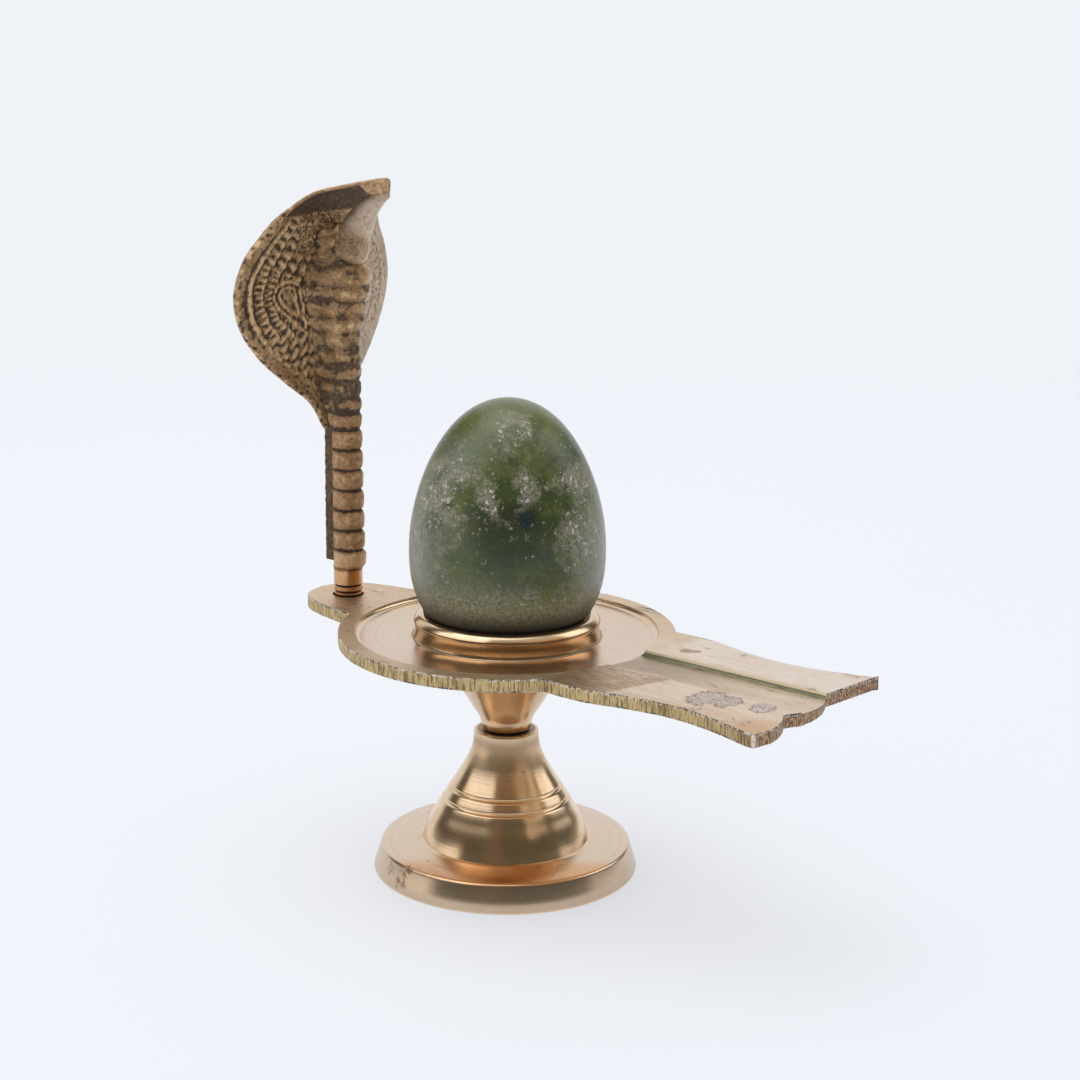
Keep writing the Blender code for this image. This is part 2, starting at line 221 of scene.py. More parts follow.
class StageSettings(PropertyGroup):
    floor: colour_property("Floor", "Colour of the floor", (0.825, 0.845, 0.885))
    backdrop: colour_property("Backdrop", "Colour behind the floor", (0.863, 0.887, 0.93))
    light: FloatProperty(
        name="Light",
        description="Strength of the softboxes as a share of the usual",
        default=1.0,
        min=0.0,
        soft_max=3.0,
    )


class Shade:
    """A socket of a material's nodes that takes part in arithmetic."""

    def __init__(self, nodes, socket):
        self.nodes = nodes
        self.socket = socket

    def maths(self, operation, *terms):
        return self.nodes.add("ShaderNodeMath", {"operation": operation}, dict(enumerate(terms)))

    def __add__(self, other):
        return self.maths("ADD", self, other)

    __radd__ = __add__

    def __sub__(self, other):
        return self.maths("SUBTRACT", self, other)

    def __rsub__(self, other):
        return self.maths("SUBTRACT", other, self)

    def __mul__(self, other):
        return self.maths("MULTIPLY", self, other)

    __rmul__ = __mul__

    def __pow__(self, other):
        return self.maths("POWER", self, other)

    def above(self, low, high):
        """0 below low, 1 above high and a smooth step between them."""
        limits = {"Value": self, "From Min": low, "From Max": high}
        return self.nodes.add("ShaderNodeMapRange", {"interpolation_type": "SMOOTHSTEP"}, limits)

    def below(self, low, high):
        """1 below low, 0 above high and a smooth step between them."""
        return 1 - self.above(low, high)

    def between(self, low, high, soft):
        """1 between low and high, with soft edges."""
        return self.above(low - soft, low + soft) * self.below(high - soft, high + soft)


class Nodes:
    """Adds nodes to a material or a world, and keeps the colour that it has so far."""

    def __init__(self, owner, base):
        owner.use_nodes = True
        self.owner = owner
        self.tree = owner.node_tree
        self.tree.nodes.clear()
        self.base = base
        self.colour = base

    def add(self, kind, settings=None, values=None, output=0):
        """Adds a node: its settings first, then the values or links of its sockets. Returns one output."""
        node = self.tree.nodes.new(kind)
        for name, value in (settings or {}).items():
            setattr(node, name, value)
        for name, value in (values or {}).items():
            if isinstance(value, Shade):
                self.tree.links.new(value.socket, node.inputs[name])
            else:
                node.inputs[name].default_value = value
        return Shade(self, node.outputs[output]) if len(node.outputs) else None

    def place(self, scale=(1.0, 1.0, 1.0)):
        """Where the surface is, in millimetres, stretched by scale."""
        spot = self.add("ShaderNodeTexCoord", output=3)
        stretch = [1000.0 * s for s in scale]
        return self.add("ShaderNodeVectorMath", {"operation": "MULTIPLY"}, {0: spot, 1: stretch})

    def part(self, vector, index):
        return self.add("ShaderNodeSeparateXYZ", {}, {0: vector}, index)

    def parts(self, vector):
        return [self.part(vector, index) for index in range(3)]

    def noise(self, place, scale, detail=3.0, roughness=0.55, warp=0.0):
        values = {"Vector": place, "Scale": scale, "Detail": detail, "Roughness": roughness, "Distortion": warp}
        return self.add("ShaderNodeTexNoise", {}, values)

    def cells(self, place, scale, output=0):
        """Distance to the nearest of many scattered points, or with output 1 a random colour for each."""
        return self.add("ShaderNodeTexVoronoi", {}, {"Vector": place, "Scale": scale}, output)

    def near(self, place, middle, size):
        """1 at a spot given in millimetres and 0 beyond size from it, with a soft edge."""
        away = self.add("ShaderNodeVectorMath", {"operation": "DISTANCE"}, {0: place, 1: middle}, 1)
        return away.below(size * 0.25, size)

    def nearest(self, place, spots):
        """As near, for whichever of several spots is the closest."""
        found = self.near(place, *spots[0])
        for spot in spots[1:]:
            found = found.maths("MAXIMUM", found, self.near(place, *spot))
        return found

    def blend(self, first, second, share):
        """A colour between two others."""
        pair = {0: share, 6: solid(first), 7: solid(second)}
        return self.add("ShaderNodeMix", {"data_type": "RGBA"}, pair, 2)

    def coat(self, colour, share):
        """Lays a colour over what there is so far, as strongly as share says."""
        self.colour = self.blend(self.colour, colour, share)

    def tint(self, tint, share):
        """Lays the main colour, tinted, over what there is so far."""
        self.coat(tinted(self.base, tint), share)

    def attribute(self, name):
        return self.add("ShaderNodeAttribute", {"attribute_name": name}, {}, 2)

    def bump(self, height, distance, strength=1.0):
        return self.add("ShaderNodeBump", {}, {"Height": height, "Distance": distance, "Strength": strength})

    def surface(self, **values):
        """Gives the material a Principled surface in the colour so far. Returns the material."""
        named = {name.replace("_", " "): value for name, value in values.items()}
        shader = self.add("ShaderNodeBsdfPrincipled", {}, {"Base Color": self.colour, **named})
        self.add("ShaderNodeOutputMaterial", {}, {"Surface": shader})
        return self.owner


def opaque(colour):
    return (*tuple(colour)[:3], 1.0)


def solid(colour):
    return colour if isinstance(colour, Shade) else opaque(colour)


def tinted(colour, tint):
    return [c * t for c, t in zip(colour, tint)]


def reach_along(x, y, way):
    """How far a place lies from the middle in a way in plan."""
    return x * way[0] + y * way[1]


def new_finish(name, base):
    return Nodes(bpy.data.materials.new(name), base)


def green_stone(settings):
    """Olive-green stone with dark patches, grainy beige veils, a painted sheen on its front and sides, a dark foot
    darkened by real grime and by painted shade where it sits in the seat, and small pale flecks.
    """
    n = new_finish("green_stone", settings.green)
    place = n.place()
    x, y, height = n.parts(place)
    clouds = n.noise(place, 0.12, 6.0, 0.62, 0.5)
    drift = n.noise(place, 0.3, 6.0, 0.68, 0.5)
    grain = n.noise(place, 2.0, 7.0, 0.78)
    n.tint((0.62, 0.66, 0.68), clouds.below(0.4, 0.58))
    n.coat((0.12, 0.135, 0.025), drift.above(0.5, 0.64) * 0.6)
    n.coat((0.018, 0.03, 0.008), drift.below(0.34, 0.46) * 0.6)
    # Painted sheen: pale grey patches on the stone's front stand in for a soft reflection.
    painted_sheen = n.near(place, (-3.0, -13.0, 79.0), 9.0) + n.near(place, (5.0, -15.5, 69.0), 7.0) * 0.5
    n.coat((0.18, 0.19, 0.14), painted_sheen * 0.55)
    n.coat((0.13, 0.145, 0.04), height.above(82.0, 89.0) * 0.6)
    centre = n.near(place, (11.2, -13.1, 68.5), 12.0)
    n.coat((0.018, 0.028, 0.005), centre * 0.85)
    spots = [((-4.0, -15.1, 74.5), 9.0), ((-9.0, -14.5, 66.0), 7.0), ((16.0, 1.5, 76.0), 8.0), ((17.6, 0.0, 67.0), 8.0)]
    spots += [((1.0, -13.5, 79.5), 6.0), ((7.5, -14.0, 74.5), 5.0), ((12.0, -9.5, 76.0), 4.0), ((6.0, -6.0, 86.0), 6.0)]
    mass = n.nearest(place, spots)
    veil = (n.noise(place, 0.2, 6.0, 0.72, 0.3) + mass * 0.13 - centre * 0.06).above(0.52, 0.7)
    low = (height + (drift - 0.5) * 16).below(53.5, 61.5)
    veil = veil.maths("MAXIMUM", veil * 0.85, low)
    n.coat(settings.beige, veil * (0.2 + 0.7 * grain.above(0.42, 0.6)))
    # Painted sheen: the stone's left and right sides, as seen from the camera, are lightened to stand in for a soft
    # reflection.
    left, right = (reach_along(x, y, way) for way in STONE_SIDES)
    painted_side_sheen = left.above(13.5, 19.0) + right.above(13.0, 19.0)
    n.coat((0.3, 0.29, 0.24), painted_side_sheen * (0.3 + 0.5 * grain.above(0.4, 0.58)) * height.above(52.0, 60.0))
    # The foot is darkened both by real grime and by painted shade where it sits in the seat.
    foot = height.below(50.0, 55.5)
    n.coat((0.01, 0.008, 0.005), foot * 0.95)
    wander = (drift - 0.5) * 2.4 + (grain - 0.5) * 1.2
    navy = n.near(place, (13.4, -10.4, 71.4), 3.0) + n.near(place, (11.0, -12.6, 73.0), 2.2) * 0.6
    navy = (navy + wander * 0.8).above(0.4, 1.1) * n.near(place, (12.9, -11.0, 71.9), 4.5)
    n.coat((0.006, 0.021, 0.026), navy * 0.9)
    spread = n.noise(place, 0.45, 4.0, 0.7)
    above_seat = height.above(52.5, 56.5)
    picked = n.part(n.cells(place, 0.85, 1), 0) + veil * 0.12 + mass * 0.14 + (spread - 0.5) * 0.9
    dots = (n.cells(place, 0.85) + (grain - 0.5) * 0.5).below(0.12, 0.26) * picked.above(0.8, 0.88)
    small = (n.noise(place, 2.5, 5.0, 0.7) + veil * 0.04 + mass * 0.03 + spread * 0.2).above(0.72, 0.77) * above_seat
    small = small * 0.7 + dots * above_seat
    large = (n.noise(place, 0.9, 6.0, 0.72) + mass * 0.055 + veil * 0.02 + spread * 0.24).above(0.77, 0.81) * above_seat
    n.coat(settings.fleck, small * (0.45 + 0.35 * mass))
    n.coat(tinted(settings.fleck, (1.1, 1.0, 0.95)), large * (0.5 + 0.4 * mass))
    n.coat((0.014, 0.02, 0.009), grain.below(0.32, 0.45) * 0.6)
    rough = 0.26 + 0.2 * small + 0.14 * veil + 0.2 * foot
    relief = n.bump(grain + small * 0.4 + large * 0.4, 0.00009, 0.5)
    return n.surface(Roughness=rough, Normal=relief, IOR=1.51)


def turned_brass(settings):
    """Polished brass with lathe rings and dark pits, specks and nicks, with painted light: a pale sheen on its upward
    flat faces, a coppery reflection on the flange's front, a bright band round its lowest edge, and shade on the collar
    wall, the neck, the stem and in its corners.
    """
    n = new_finish("turned_brass", settings.turned)
    place = n.place()
    x, y, z = n.parts(place)
    radius = (x * x + y * y) ** 0.5
    lathe = n.add("ShaderNodeCombineXYZ", {}, {0: radius, 1: z})
    rings = n.noise(lathe, 3.0, 5.0, 0.75)
    stain = n.noise(place, 0.14, 5.0, 0.65, 0.8)
    speckle = n.noise(place, 1.1, 6.0, 0.75)
    # The upward flat faces of the flange and the recess floor, which get a painted pale sheen.
    flats_painted_pale = z.between(5.0, 6.02, 0.05) * radius.above(15.8, 16.6)
    flats_painted_pale = flats_painted_pale + z.between(45.3, 45.7, 0.05) * radius.above(17.5, 18.2)
    # The front of the flange, towards the camera, gets a painted coppery reflection on its flat top.
    ahead = reach_along(x, y, TO_CAMERA).above(11.0, 15.5)
    side = z.below(4.8, 5.2)
    n.tint((0.9, 0.84, 0.76), stain.above(0.44, 0.7))
    # Painted sheen: the upward flat faces are paler.
    n.coat((0.75, 0.59, 0.45), flats_painted_pale * 0.85)
    n.coat((0.74, 0.4, 0.18), flats_painted_pale * ahead * z.below(7.0, 8.0) * 0.75)
    n.coat((0.6, 0.48, 0.36), side * 0.8)
    blotch = n.near(place, (2.0, -20.8, 5.4), 7.0) * speckle.above(0.44, 0.6)
    n.coat((0.5, 0.33, 0.22), blotch * 0.45)
    dabs = n.near(place, (-5.2, -23.6, 2.6), 3.0) + n.near(place, (-3.6, -23.2, 5.3), 2.2)
    dabs = dabs + n.near(place, (-9.0, -22.2, 3.6), 2.2)
    n.coat((0.2, 0.09, 0.05), dabs * (speckle + dabs * 0.1).above(0.56, 0.64) * 0.7)
    # Painted shade: the collar's upright face is coloured a darker orange, standing in for its dim reflection.
    wall = z.between(45.8, 48.9, 0.3) * radius.between(16.6, 17.6, 0.2)
    n.coat((0.5, 0.3, 0.15), wall * 0.75)
    # Painted shade: the top of the foot's neck below the stem, and more faintly the stem under the tray.
    neck = z.between(24.6, 26.4, 1.3) * radius.below(6.3, 7.0) + z.between(29.0, 44.0, 1.0) * 0.3
    n.coat((0.36, 0.25, 0.17), neck * 0.8)
    scored = n.noise(lathe, 7.0, 3.0, 0.7)
    n.tint((0.72, 0.66, 0.58), scored.above(0.54, 0.66) * 0.35)
    pits = n.cells(place, 0.42).below(0.0, 0.16) * n.part(n.cells(place, 0.42, 1), 0).above(0.8, 0.86)
    nicks = n.near(place, (5.0, -13.9, 49.4), 1.2) + n.near(place, (19.0, -7.6, 46.4), 1.5) * 0.9
    specks = speckle.above(0.67, 0.75) * 0.4
    # Painted shade in the corners at the foot of the collar and round the stem's foot, laid together with the real
    # pits, specks and nicks.
    corner_shade = z.between(45.45, 45.62, 0.06) * radius.between(17.15, 17.75, 0.2)
    corner_shade = corner_shade + z.between(26.9, 27.8, 0.2) * radius.below(5.3, 5.7)
    dirt_and_shade = (pits + specks + nicks * speckle.above(0.4, 0.5) + corner_shade * 0.6).above(0.1, 1.0)
    n.coat(settings.tarnish_and_shade, dirt_and_shade * 0.9)
    # Painted highlight: a bright orange band round the foot's lowest edge.
    n.coat((0.95, 0.62, 0.34), z.below(0.2, 0.55) * 0.8)
    brushed = z.between(19.0, 26.7, 2.0) * radius.below(6.3, 9.0)
    rough = 0.11 + 0.06 * rings + 0.05 * stain + 0.08 * flats_painted_pale + 0.06 * side + 0.3 * dirt_and_shade + 0.19 * brushed
    relief = n.bump(rings * 0.5 + scored * 0.25 + speckle * 0.2 - dirt_and_shade, 0.00004, 0.5)
    return n.surface(Metallic=1.0, Roughness=rough, Normal=relief)


def plate_brass(settings):
    """Worn, wiped brass: streaks along the spout, a brown half near the disc, crusts and gouges."""
    n = new_finish("plate_brass", settings.plate)
    place = n.place()
    x, y = n.part(place, 0), n.part(place, 1)
    along = n.noise(n.place((0.05, 1.0, 1.0)), 1.3, 5.0, 0.7)
    stain = n.noise(place, 0.1, 5.0, 0.65, 0.8)
    grit = n.noise(place, 1.3, 6.0, 0.75)
    n.tint((0.9, 0.82, 0.7), stain.above(0.45, 0.65) * 0.7)
    n.tint((1.08, 1.1, 1.12), along.above(0.5, 0.66) * 0.6)
    n.tint((0.75, 0.7, 0.62), along.below(0.34, 0.46) * 0.5)
    n.coat((0.9, 0.82, 0.75), y.above(5.8, 9.0) * x.above(28.0, 34.0) * 0.45)
    n.tint((0.9, 0.8, 0.66), x.below(20.0, 34.0) * 0.6)
    ragged = (grit - 0.5) * 1.2 + (along - 0.5) * 1.0
    brown = (x - y * 0.315 + ragged).below(42.6, 43.4) * x.above(24.0, 27.0) * (y + ragged * 0.3).below(-5.1, -4.6)
    streak = n.noise(n.place((0.12, 1.0, 1.0)), 2.2, 5.0, 0.75)
    n.tint((0.58, 0.46, 0.34), brown * (0.5 + 0.5 * streak.above(0.4, 0.58)))
    trough = y.between(-4.6, 5.4, 0.9) * x.above(26.0, 29.0) * (1 - 0.75 * x.above(42.0, 60.0))
    outer = (ragged - y).above(14.5, 19.0) * x.above(38.0, 50.0) * (0.45 + 0.55 * grit.above(0.42, 0.56))
    n.tint((0.78, 0.56, 0.38), outer * 0.75)
    dull = 0.25 + 0.45 * x.below(34.0, 52.0) + 0.5 * (streak - 0.3)
    n.tint((0.5, 0.46, 0.4), trough * dull)
    smear = n.noise(n.place((0.3, 1.0, 1.0)), 0.35, 6.0, 0.72, 0.6)
    n.tint((0.66, 0.52, 0.38), smear.above(0.52, 0.7) * 0.5)
    n.tint((1.12, 1.14, 1.16), smear.below(0.32, 0.46) * 0.5)
    scuff = n.near(n.place((0.7, 1.4, 1.0)), (24.0, -9.6, 46.5), 6.0) * (grit + streak * 0.6).above(0.78, 0.92)
    n.tint((1.1, 1.12, 1.15), scuff * 0.6)
    n.tint((0.85, 0.62, 0.42), n.near(place, (67.0, -16.0, 46.5), 6.0) * 0.6)
    wedge = n.near(place, (33.3, 10.6, 46.5), 2.0) + n.near(place, (35.0, 11.6, 46.5), 1.4) * 0.8
    n.tint((0.55, 0.42, 0.28), (wedge + (grit - 0.5)).above(0.35, 0.6) * 0.8)
    narrow = n.place((1.5, 1.0, 1.0))
    # Along x these spots are stretched too.
    spots = [((78.0, -9.4, 46.5), 6.0), ((84.0, -8.6, 46.5), 4.6), ((93.5, -7.4, 46.5), 4.2), ((94.5, 5.4, 46.3), 2.4)]
    crust = n.nearest(narrow, spots) + (grit - 0.5) * 1.3 + (smear - 0.5) * 2.2 + (streak - 0.5) * 0.8
    edging = crust.between(0.36, 0.5, 0.05)
    crust = crust.above(0.46, 0.54)
    speckle = n.noise(place, 3.0, 5.0, 0.75)
    n.coat((0.14, 0.08, 0.05), edging * 0.8)
    crust_tone = n.blend((0.24, 0.17, 0.14), (0.62, 0.55, 0.51), (speckle * 0.75 + streak * 0.25).above(0.45, 0.53))
    n.coat(crust_tone, crust * 0.85)
    slant = n.noise(n.add("ShaderNodeVectorRotate", {}, {0: place, 3: 0.9}), 0.9, 3.0, 0.6)
    grooves = n.cells(n.place((0.5, 1.6, 1.0)), 0.8).below(0.1, 0.24)
    gouge = n.near(place, (60.0, 12.3, 46.5), 5.5) * grooves * slant.above(0.4, 0.6)
    scuffs = n.near(place, (11.8, 27.9, 46.5), 4.0) * (along + grit * 0.5).above(0.72, 0.82)
    specks = grit.above(0.64, 0.7) * 0.5 + gouge * 0.8 + scuffs * 0.8
    n.coat(settings.tarnish_and_shade, specks)
    rough = 0.3 + 0.14 * along + 0.12 * stain + 0.3 * crust
    relief = n.bump(along * 0.6 + grit * 0.3 + crust * 1.2 + speckle * crust - gouge, 0.0001, 0.7)
    return n.surface(Metallic=1 - crust * 0.8, Roughness=rough, Normal=relief)


def channel_brass(settings):
    """The milled sides of the channel: a bright bevel painted as a highlight, and a greenish step below it painted dark
    as shade.
    """
    # The base colour is the step's painted shade: a dark greenish brass.
    n = new_finish("channel_brass", (0.2, 0.19, 0.12))
    place = n.place()
    height = n.part(place, 2)
    along = n.noise(n.place((0.06, 1.0, 1.0)), 2.0, 4.0, 0.7)
    grit = n.noise(place, 1.3, 6.0, 0.75)
    # Painted highlight: the bevel is bright and less metallic.
    bevel = height.above(46.14, 46.2)
    n.coat((0.62, 0.5, 0.3), bevel)
    n.coat((0.07, 0.065, 0.045), along.above(0.47, 0.6) * height.below(46.12, 46.2) * 0.7)
    n.coat(settings.tarnish_and_shade, grit.above(0.6, 0.7) * 0.6)
    relief = n.bump(along + grit * 0.4, 0.00006, 0.6)
    return n.surface(Metallic=1 - bevel * 0.75, Roughness=0.24 + 0.2 * grit, Normal=relief)


def sawn_brass(settings):
    """Sawn edge: upright saw marks, yellow-olive with brown lines, and a burr of black and bright crumbs."""
    n = new_finish("sawn_brass", settings.sawn)
    upright = n.place((1.0, 1.0, 0.1))
    place = n.place()
    x, height = n.part(place, 0), n.part(place, 2)
    marks = n.noise(upright, 3.1, 4.0, 0.72)
    fine = n.noise(upright, 4.2, 3.0, 0.65)
    broad = n.noise(upright, 0.22, 4.0, 0.6)
    n.tint((0.26, 0.19, 0.15), marks.above(0.5, 0.58) * 0.85)
    n.tint((1.45, 1.4, 1.35), fine.above(0.54, 0.66) * 0.6)
    brown = broad.above(0.5, 0.62) * 0.5 + x.above(62.0, 66.0) * 0.75
    n.tint((0.36, 0.26, 0.26), brown * (0.35 + 0.65 * marks.above(0.42, 0.52)))
    n.coat((0.75, 0.42, 0.2), x.above(64.0, 66.5) * fine.above(0.55, 0.62) * 0.5)
    facing = n.part(n.add("ShaderNodeNewGeometry", {}, {}, 1), 0)
    end = facing.above(0.35, 0.7) * x.above(64.0, 66.0)
    tilted = n.noise(n.place((0.5, 1.2, 0.45)), 3.4, 4.0, 0.7)
    n.coat(n.blend((0.1, 0.055, 0.035), (0.66, 0.44, 0.27), tilted.above(0.45, 0.58)), end * 0.8)
    scraped = n.near(upright, (*SPOUT_NEAR_CORNER, 4.55), 0.75)
    n.coat((0.9, 0.84, 0.76), scraped * tilted.above(0.36, 0.5) * 0.9)
    grit = n.noise(place, 2.4, 5.0, 0.7)
    crumbs = n.noise(place, 0.5, 4.0, 0.7)
    jagged = height + (grit - 0.5) * 1.3
    burr = jagged.above(46.0, 46.35) + jagged.below(44.2, 44.45)
    n.coat((0.02, 0.022, 0.03), burr * crumbs.above(0.46, 0.56) * 0.95)
    n.coat((0.85, 0.81, 0.74), burr * grit.above(0.5, 0.56) * 0.85)
    relief = n.bump(marks + fine * 0.5, 0.00018, 0.9)
    return n.surface(Metallic=0.85, Roughness=0.38 + 0.15 * grit, Normal=relief)


def cast_brass(settings):
    """Antique cast brass: dark hollows, with painted shade under the visor, brighter worn places, coppery specks, a
    coarse cast grain, and painted highlights and sheen where the meshes ask for them.
    """
    n = new_finish("cast_brass", settings.cast)
    place = n.place()
    relief = n.attribute("relief")
    grain = n.noise(place, 1.3, 6.0, 0.72)
    patina = n.noise(place, 0.16, 4.0, 0.6, 0.6)
    fine = n.noise(place, 1.9, 6.0, 0.8)
    n.tint((0.66, 0.58, 0.5), patina.above(0.42, 0.62))
    n.tint((0.36, 0.3, 0.25), fine.above(0.5, 0.6) * 0.65)
    n.tint((1.45, 1.4, 1.35), fine.below(0.38, 0.47) * 0.55)
    column = n.part(place, 2).below(80.0, 95.0)
    n.tint((0.6, 0.46, 0.36), column * 0.5)
    worn = (relief + (grain - 0.5) * 1.1).above(0.05, 0.75) * (1 - 0.45 * column)
    n.tint((1.6, 1.65, 1.7), worn * 0.85)
    # Painted highlight on the belly ridge and painted sheen on the far wing and the head, where the head is also rubbed
    # bright.
    glint_and_polish = n.attribute("polish_and_highlight")
    n.coat((0.74, 0.66, 0.56), glint_and_polish * (0.5 + 0.5 * grain.above(0.4, 0.6)))
    copper = n.noise(place, 2.1, 3.0, 0.6).above(0.58, 0.66)
    n.coat((0.7, 0.3, 0.12), copper * 0.45)
    hollow = (relief + (grain - 0.5) * 0.9).below(-0.62, -0.08)
    pores = grain.below(0.32, 0.4)
    n.coat(settings.tarnish_and_shade, (hollow * 0.85 + pores * 0.6).above(0.0, 1.1))
    rough = 0.42 + 0.2 * hollow - 0.1 * worn + 0.1 * grain - 0.15 * glint_and_polish
    shape = n.bump(grain * 0.8 + fine * 0.6, 0.00036, 0.95)
    return n.surface(Metallic=0.8 - hollow * 0.4, Roughness=rough, Normal=shape)


def pin_brass(settings):
    """The glossy, coppery pin, with orange and dark streaks painted as reflections, and painted shade in the rings cut
    round its foot, low in the tray's hole and where it meets the body.
    """
    n = new_finish("pin_brass", (0.62, 0.4, 0.24))
    place = n.place()
    z = n.part(place, 2)
    streak = n.noise(n.place((1.0, 1.0, 0.12)), 0.9, 4.0, 0.65)
    grit = n.noise(place, 1.6, 5.0, 0.7)
    # Painted reflections: upright orange and dark streaks, as a shiny round pin mirrors the tray and its surroundings.
    n.coat((0.75, 0.36, 0.14), streak.above(0.42, 0.58))
    n.coat((0.35, 0.2, 0.12), streak.below(0.36, 0.46) * 0.7)
    # Painted shade: the cut rings, the part low in the tray's hole, and the top where it meets the body.
    dark = z.between(47.2, 47.5, 0.08) + z.between(48.4, 48.7, 0.08) + z.below(46.75, 46.95)
    dark = dark + (z + grit).above(51.6, 52.4) * 0.7
    n.coat(settings.tarnish_and_shade, (dark + grit.above(0.6, 0.7) * 0.4).above(0.0, 1.0) * 0.95)
    return n.surface(Metallic=0.95, Roughness=0.22 + 0.2 * grit, Normal=n.bump(grit, 0.00006, 0.5))


def white_floor(settings):
    """Pale floor that glows a little, so that shadows stay soft, and fades out behind the object."""
    n = new_finish("white_floor", tinted(settings.floor, (0.41, 0.41, 0.41)))
    place = n.place()
    n.coat(tinted(settings.floor, (0.42, 0.42, 0.42)), n.noise(place, 0.01, 2.0, 0.5))
    behind = 0 - reach_along(n.part(place, 0), n.part(place, 1), TO_CAMERA)
    glow = opaque(tinted(settings.floor, (0.61, 0.61, 0.61)))
    fade = behind.below(*FLOOR_FADE)
    return n.surface(Roughness=0.75, Emission_Color=glow, Emission_Strength=1.0, Alpha=fade)


def spline(points, per_span):
    """Catmull-Rom curve through the points, with per_span steps between neighbours."""
    stations = np.array(points, float)
    padded = np.vstack([2 * stations[0] - stations[1], stations, 2 * stations[-1] - stations[-2]])
    t = (np.arange(per_span) / per_span)[:, None]
    curve = []
    for i in range(len(stations) - 1):
        a, b, c, d = padded[i : i + 4]
        curve.append(0.5 * (2 * b + (c - a) * t + (2 * a - 5 * b + 4 * c - d) * t**2 + (3 * b - a - 3 * c + d) * t**3))
    curve.append(stations[-1:])
    return np.vstack(curve)


def new_mesh(name, points, faces, finishes):
    """A mesh given in millimetres, with its faces turned outward."""
    mesh = bpy.data.meshes.new(name)
    mesh.from_pydata([tuple(float(c) * MM for c in p) for p in points], [], faces)
    shape = bmesh.new()
    shape.from_mesh(mesh)
    bmesh.ops.recalc_face_normals(shape, faces=shape.faces)
    shape.to_mesh(mesh)
    shape.free()
    for finish in finishes:
        mesh.materials.append(finish)
    return mesh


def new_object(name, data):
    obj = bpy.data.objects.new(name, data)
    bpy.context.scene.collection.objects.link(obj)
    return obj


def finish_piece(obj, node, sharp):
    """Shades the piece smooth but for its sharp edges, and sets it in place of its CAD node."""
    obj.data.polygons.foreach_set("use_smooth", [True] * len(obj.data.polygons))
    obj.data.set_sharp_from_angle(angle=math.radians(sharp))
    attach(obj, "root")
    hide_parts(node)


def set_values(mesh, name, values):
    """Keeps a value at each point for the material, such as how far it stands above its surroundings."""
    layer = mesh.attributes.new(name, "FLOAT", "POINT")
    layer.data.foreach_set("value", np.asarray(values, float).ravel())


def grid_faces(rows, columns, start=0, wrap=False):
    """Quads over a grid of points that is numbered row by row."""
    r = np.arange(rows - 1)[:, None]
    c = np.arange(columns if wrap else columns - 1)[None, :]
    a = start + r * columns + c
    b = start + r * columns + (c + 1) % columns
    return np.stack([a, b, b + columns, a + columns], axis=2).reshape(-1, 4).tolist()


def lofted_mesh(name, rings, finishes):
    """A skin over rings of points, with a flat face on the first ring and on the last."""
    count = len(rings[0])
    faces = grid_faces(len(rings), count, wrap=True)
    faces += [list(range(count)), list(range((len(rings) - 1) * count, len(rings) * count))]
    return new_mesh(name, np.concatenate(rings), faces, finishes)


def turned_mesh(name, profile, finishes, middle=(0.0, 0.0), steps=192):
    """Turns a (radius, height) profile about a vertical line and closes its two ends flat."""
    angles = np.linspace(0, 2 * math.pi, steps, endpoint=False)
    rings = []
    for radius, height in profile:
        x = middle[0] + radius * np.cos(angles)
        y = middle[1] + radius * np.sin(angles)
        rings.append(np.stack([x, y, np.full(steps, height)], axis=1))
    return lofted_mesh(name, rings, finishes)


def combine(target, mesh, operation):
    """Cuts a mesh from a piece or joins it on, with its own finish on the new faces."""
    other = new_object(mesh.name, mesh)
    modifier = target.modifiers.new(mesh.name, "BOOLEAN")
    modifier.object = other
    modifier.operation = operation
    modifier.solver = "EXACT"
    modifier.material_mode = "TRANSFER"
    settled = bpy.data.meshes.new_from_object(target.evaluated_get(bpy.context.evaluated_depsgraph_get()))
    target.modifiers.clear()
    target.data = settled
    bpy.data.objects.remove(other, do_unlink=True)


def stone_profile(radius, grow=0.0, steps=110):
    """Half outline of the egg from its lowest point to its tip, grown by a gap."""
    profile = []
    for i in range(steps + 1):
        t = math.sin(math.pi * (i / steps - 0.5) * 0.9995)
        if t < 0:
            reach = STONE_WIDEST - STONE_BOTTOM
            half = radius * math.sqrt(1 - abs(t) ** STONE_BLUNTNESS)
        else:
            reach = STONE_TOP - STONE_WIDEST
            half = radius * math.sqrt(1 - t * t) * (1 - STONE_POINT * t * t * (1 - t))
        profile.append((half + grow, STONE_WIDEST + t * (reach + grow)))
    return profile


def foot_profile():
    """Half outline of the foot: flange, bell with two cut grooves, and the bore at the top."""
    bell = spline(BELL_CURVE, 16)
    heights = np.arange(6.1, 26.85, 0.12)
    radii = np.interp(heights, bell[:, 1], bell[:, 0])
    for groove in GROOVES:
        radii -= 0.35 * np.clip(1 - np.abs(heights - groove) / 0.36, 0, 1)
    flange = [(0.5, 0.0), (24.2, 0.0), (24.5, 0.1), (24.7, 0.3), (24.74, 0.55), (24.2, 2.4), (23.5, 4.75)]
    flange += [(23.35, 5.1), (23.1, 5.3), (22.7, 5.4), (20.0, 5.62), (16.6, 5.88), (15.95, 5.95)]
    top = [(6.0, 26.98), (5.95, 27.1), (5.8, 27.17), (3.4, 27.17), (3.3, 27.07), (3.3, 15.5), (0.5, 15.5)]
    return flange + list(zip(radii, heights)) + top


def disc_arc(start, end, steps):
    angles = np.linspace(start, end, steps, endpoint=False)
    return np.stack([TRAY_RADIUS * np.cos(angles), TRAY_RADIUS * np.sin(angles)], axis=1)


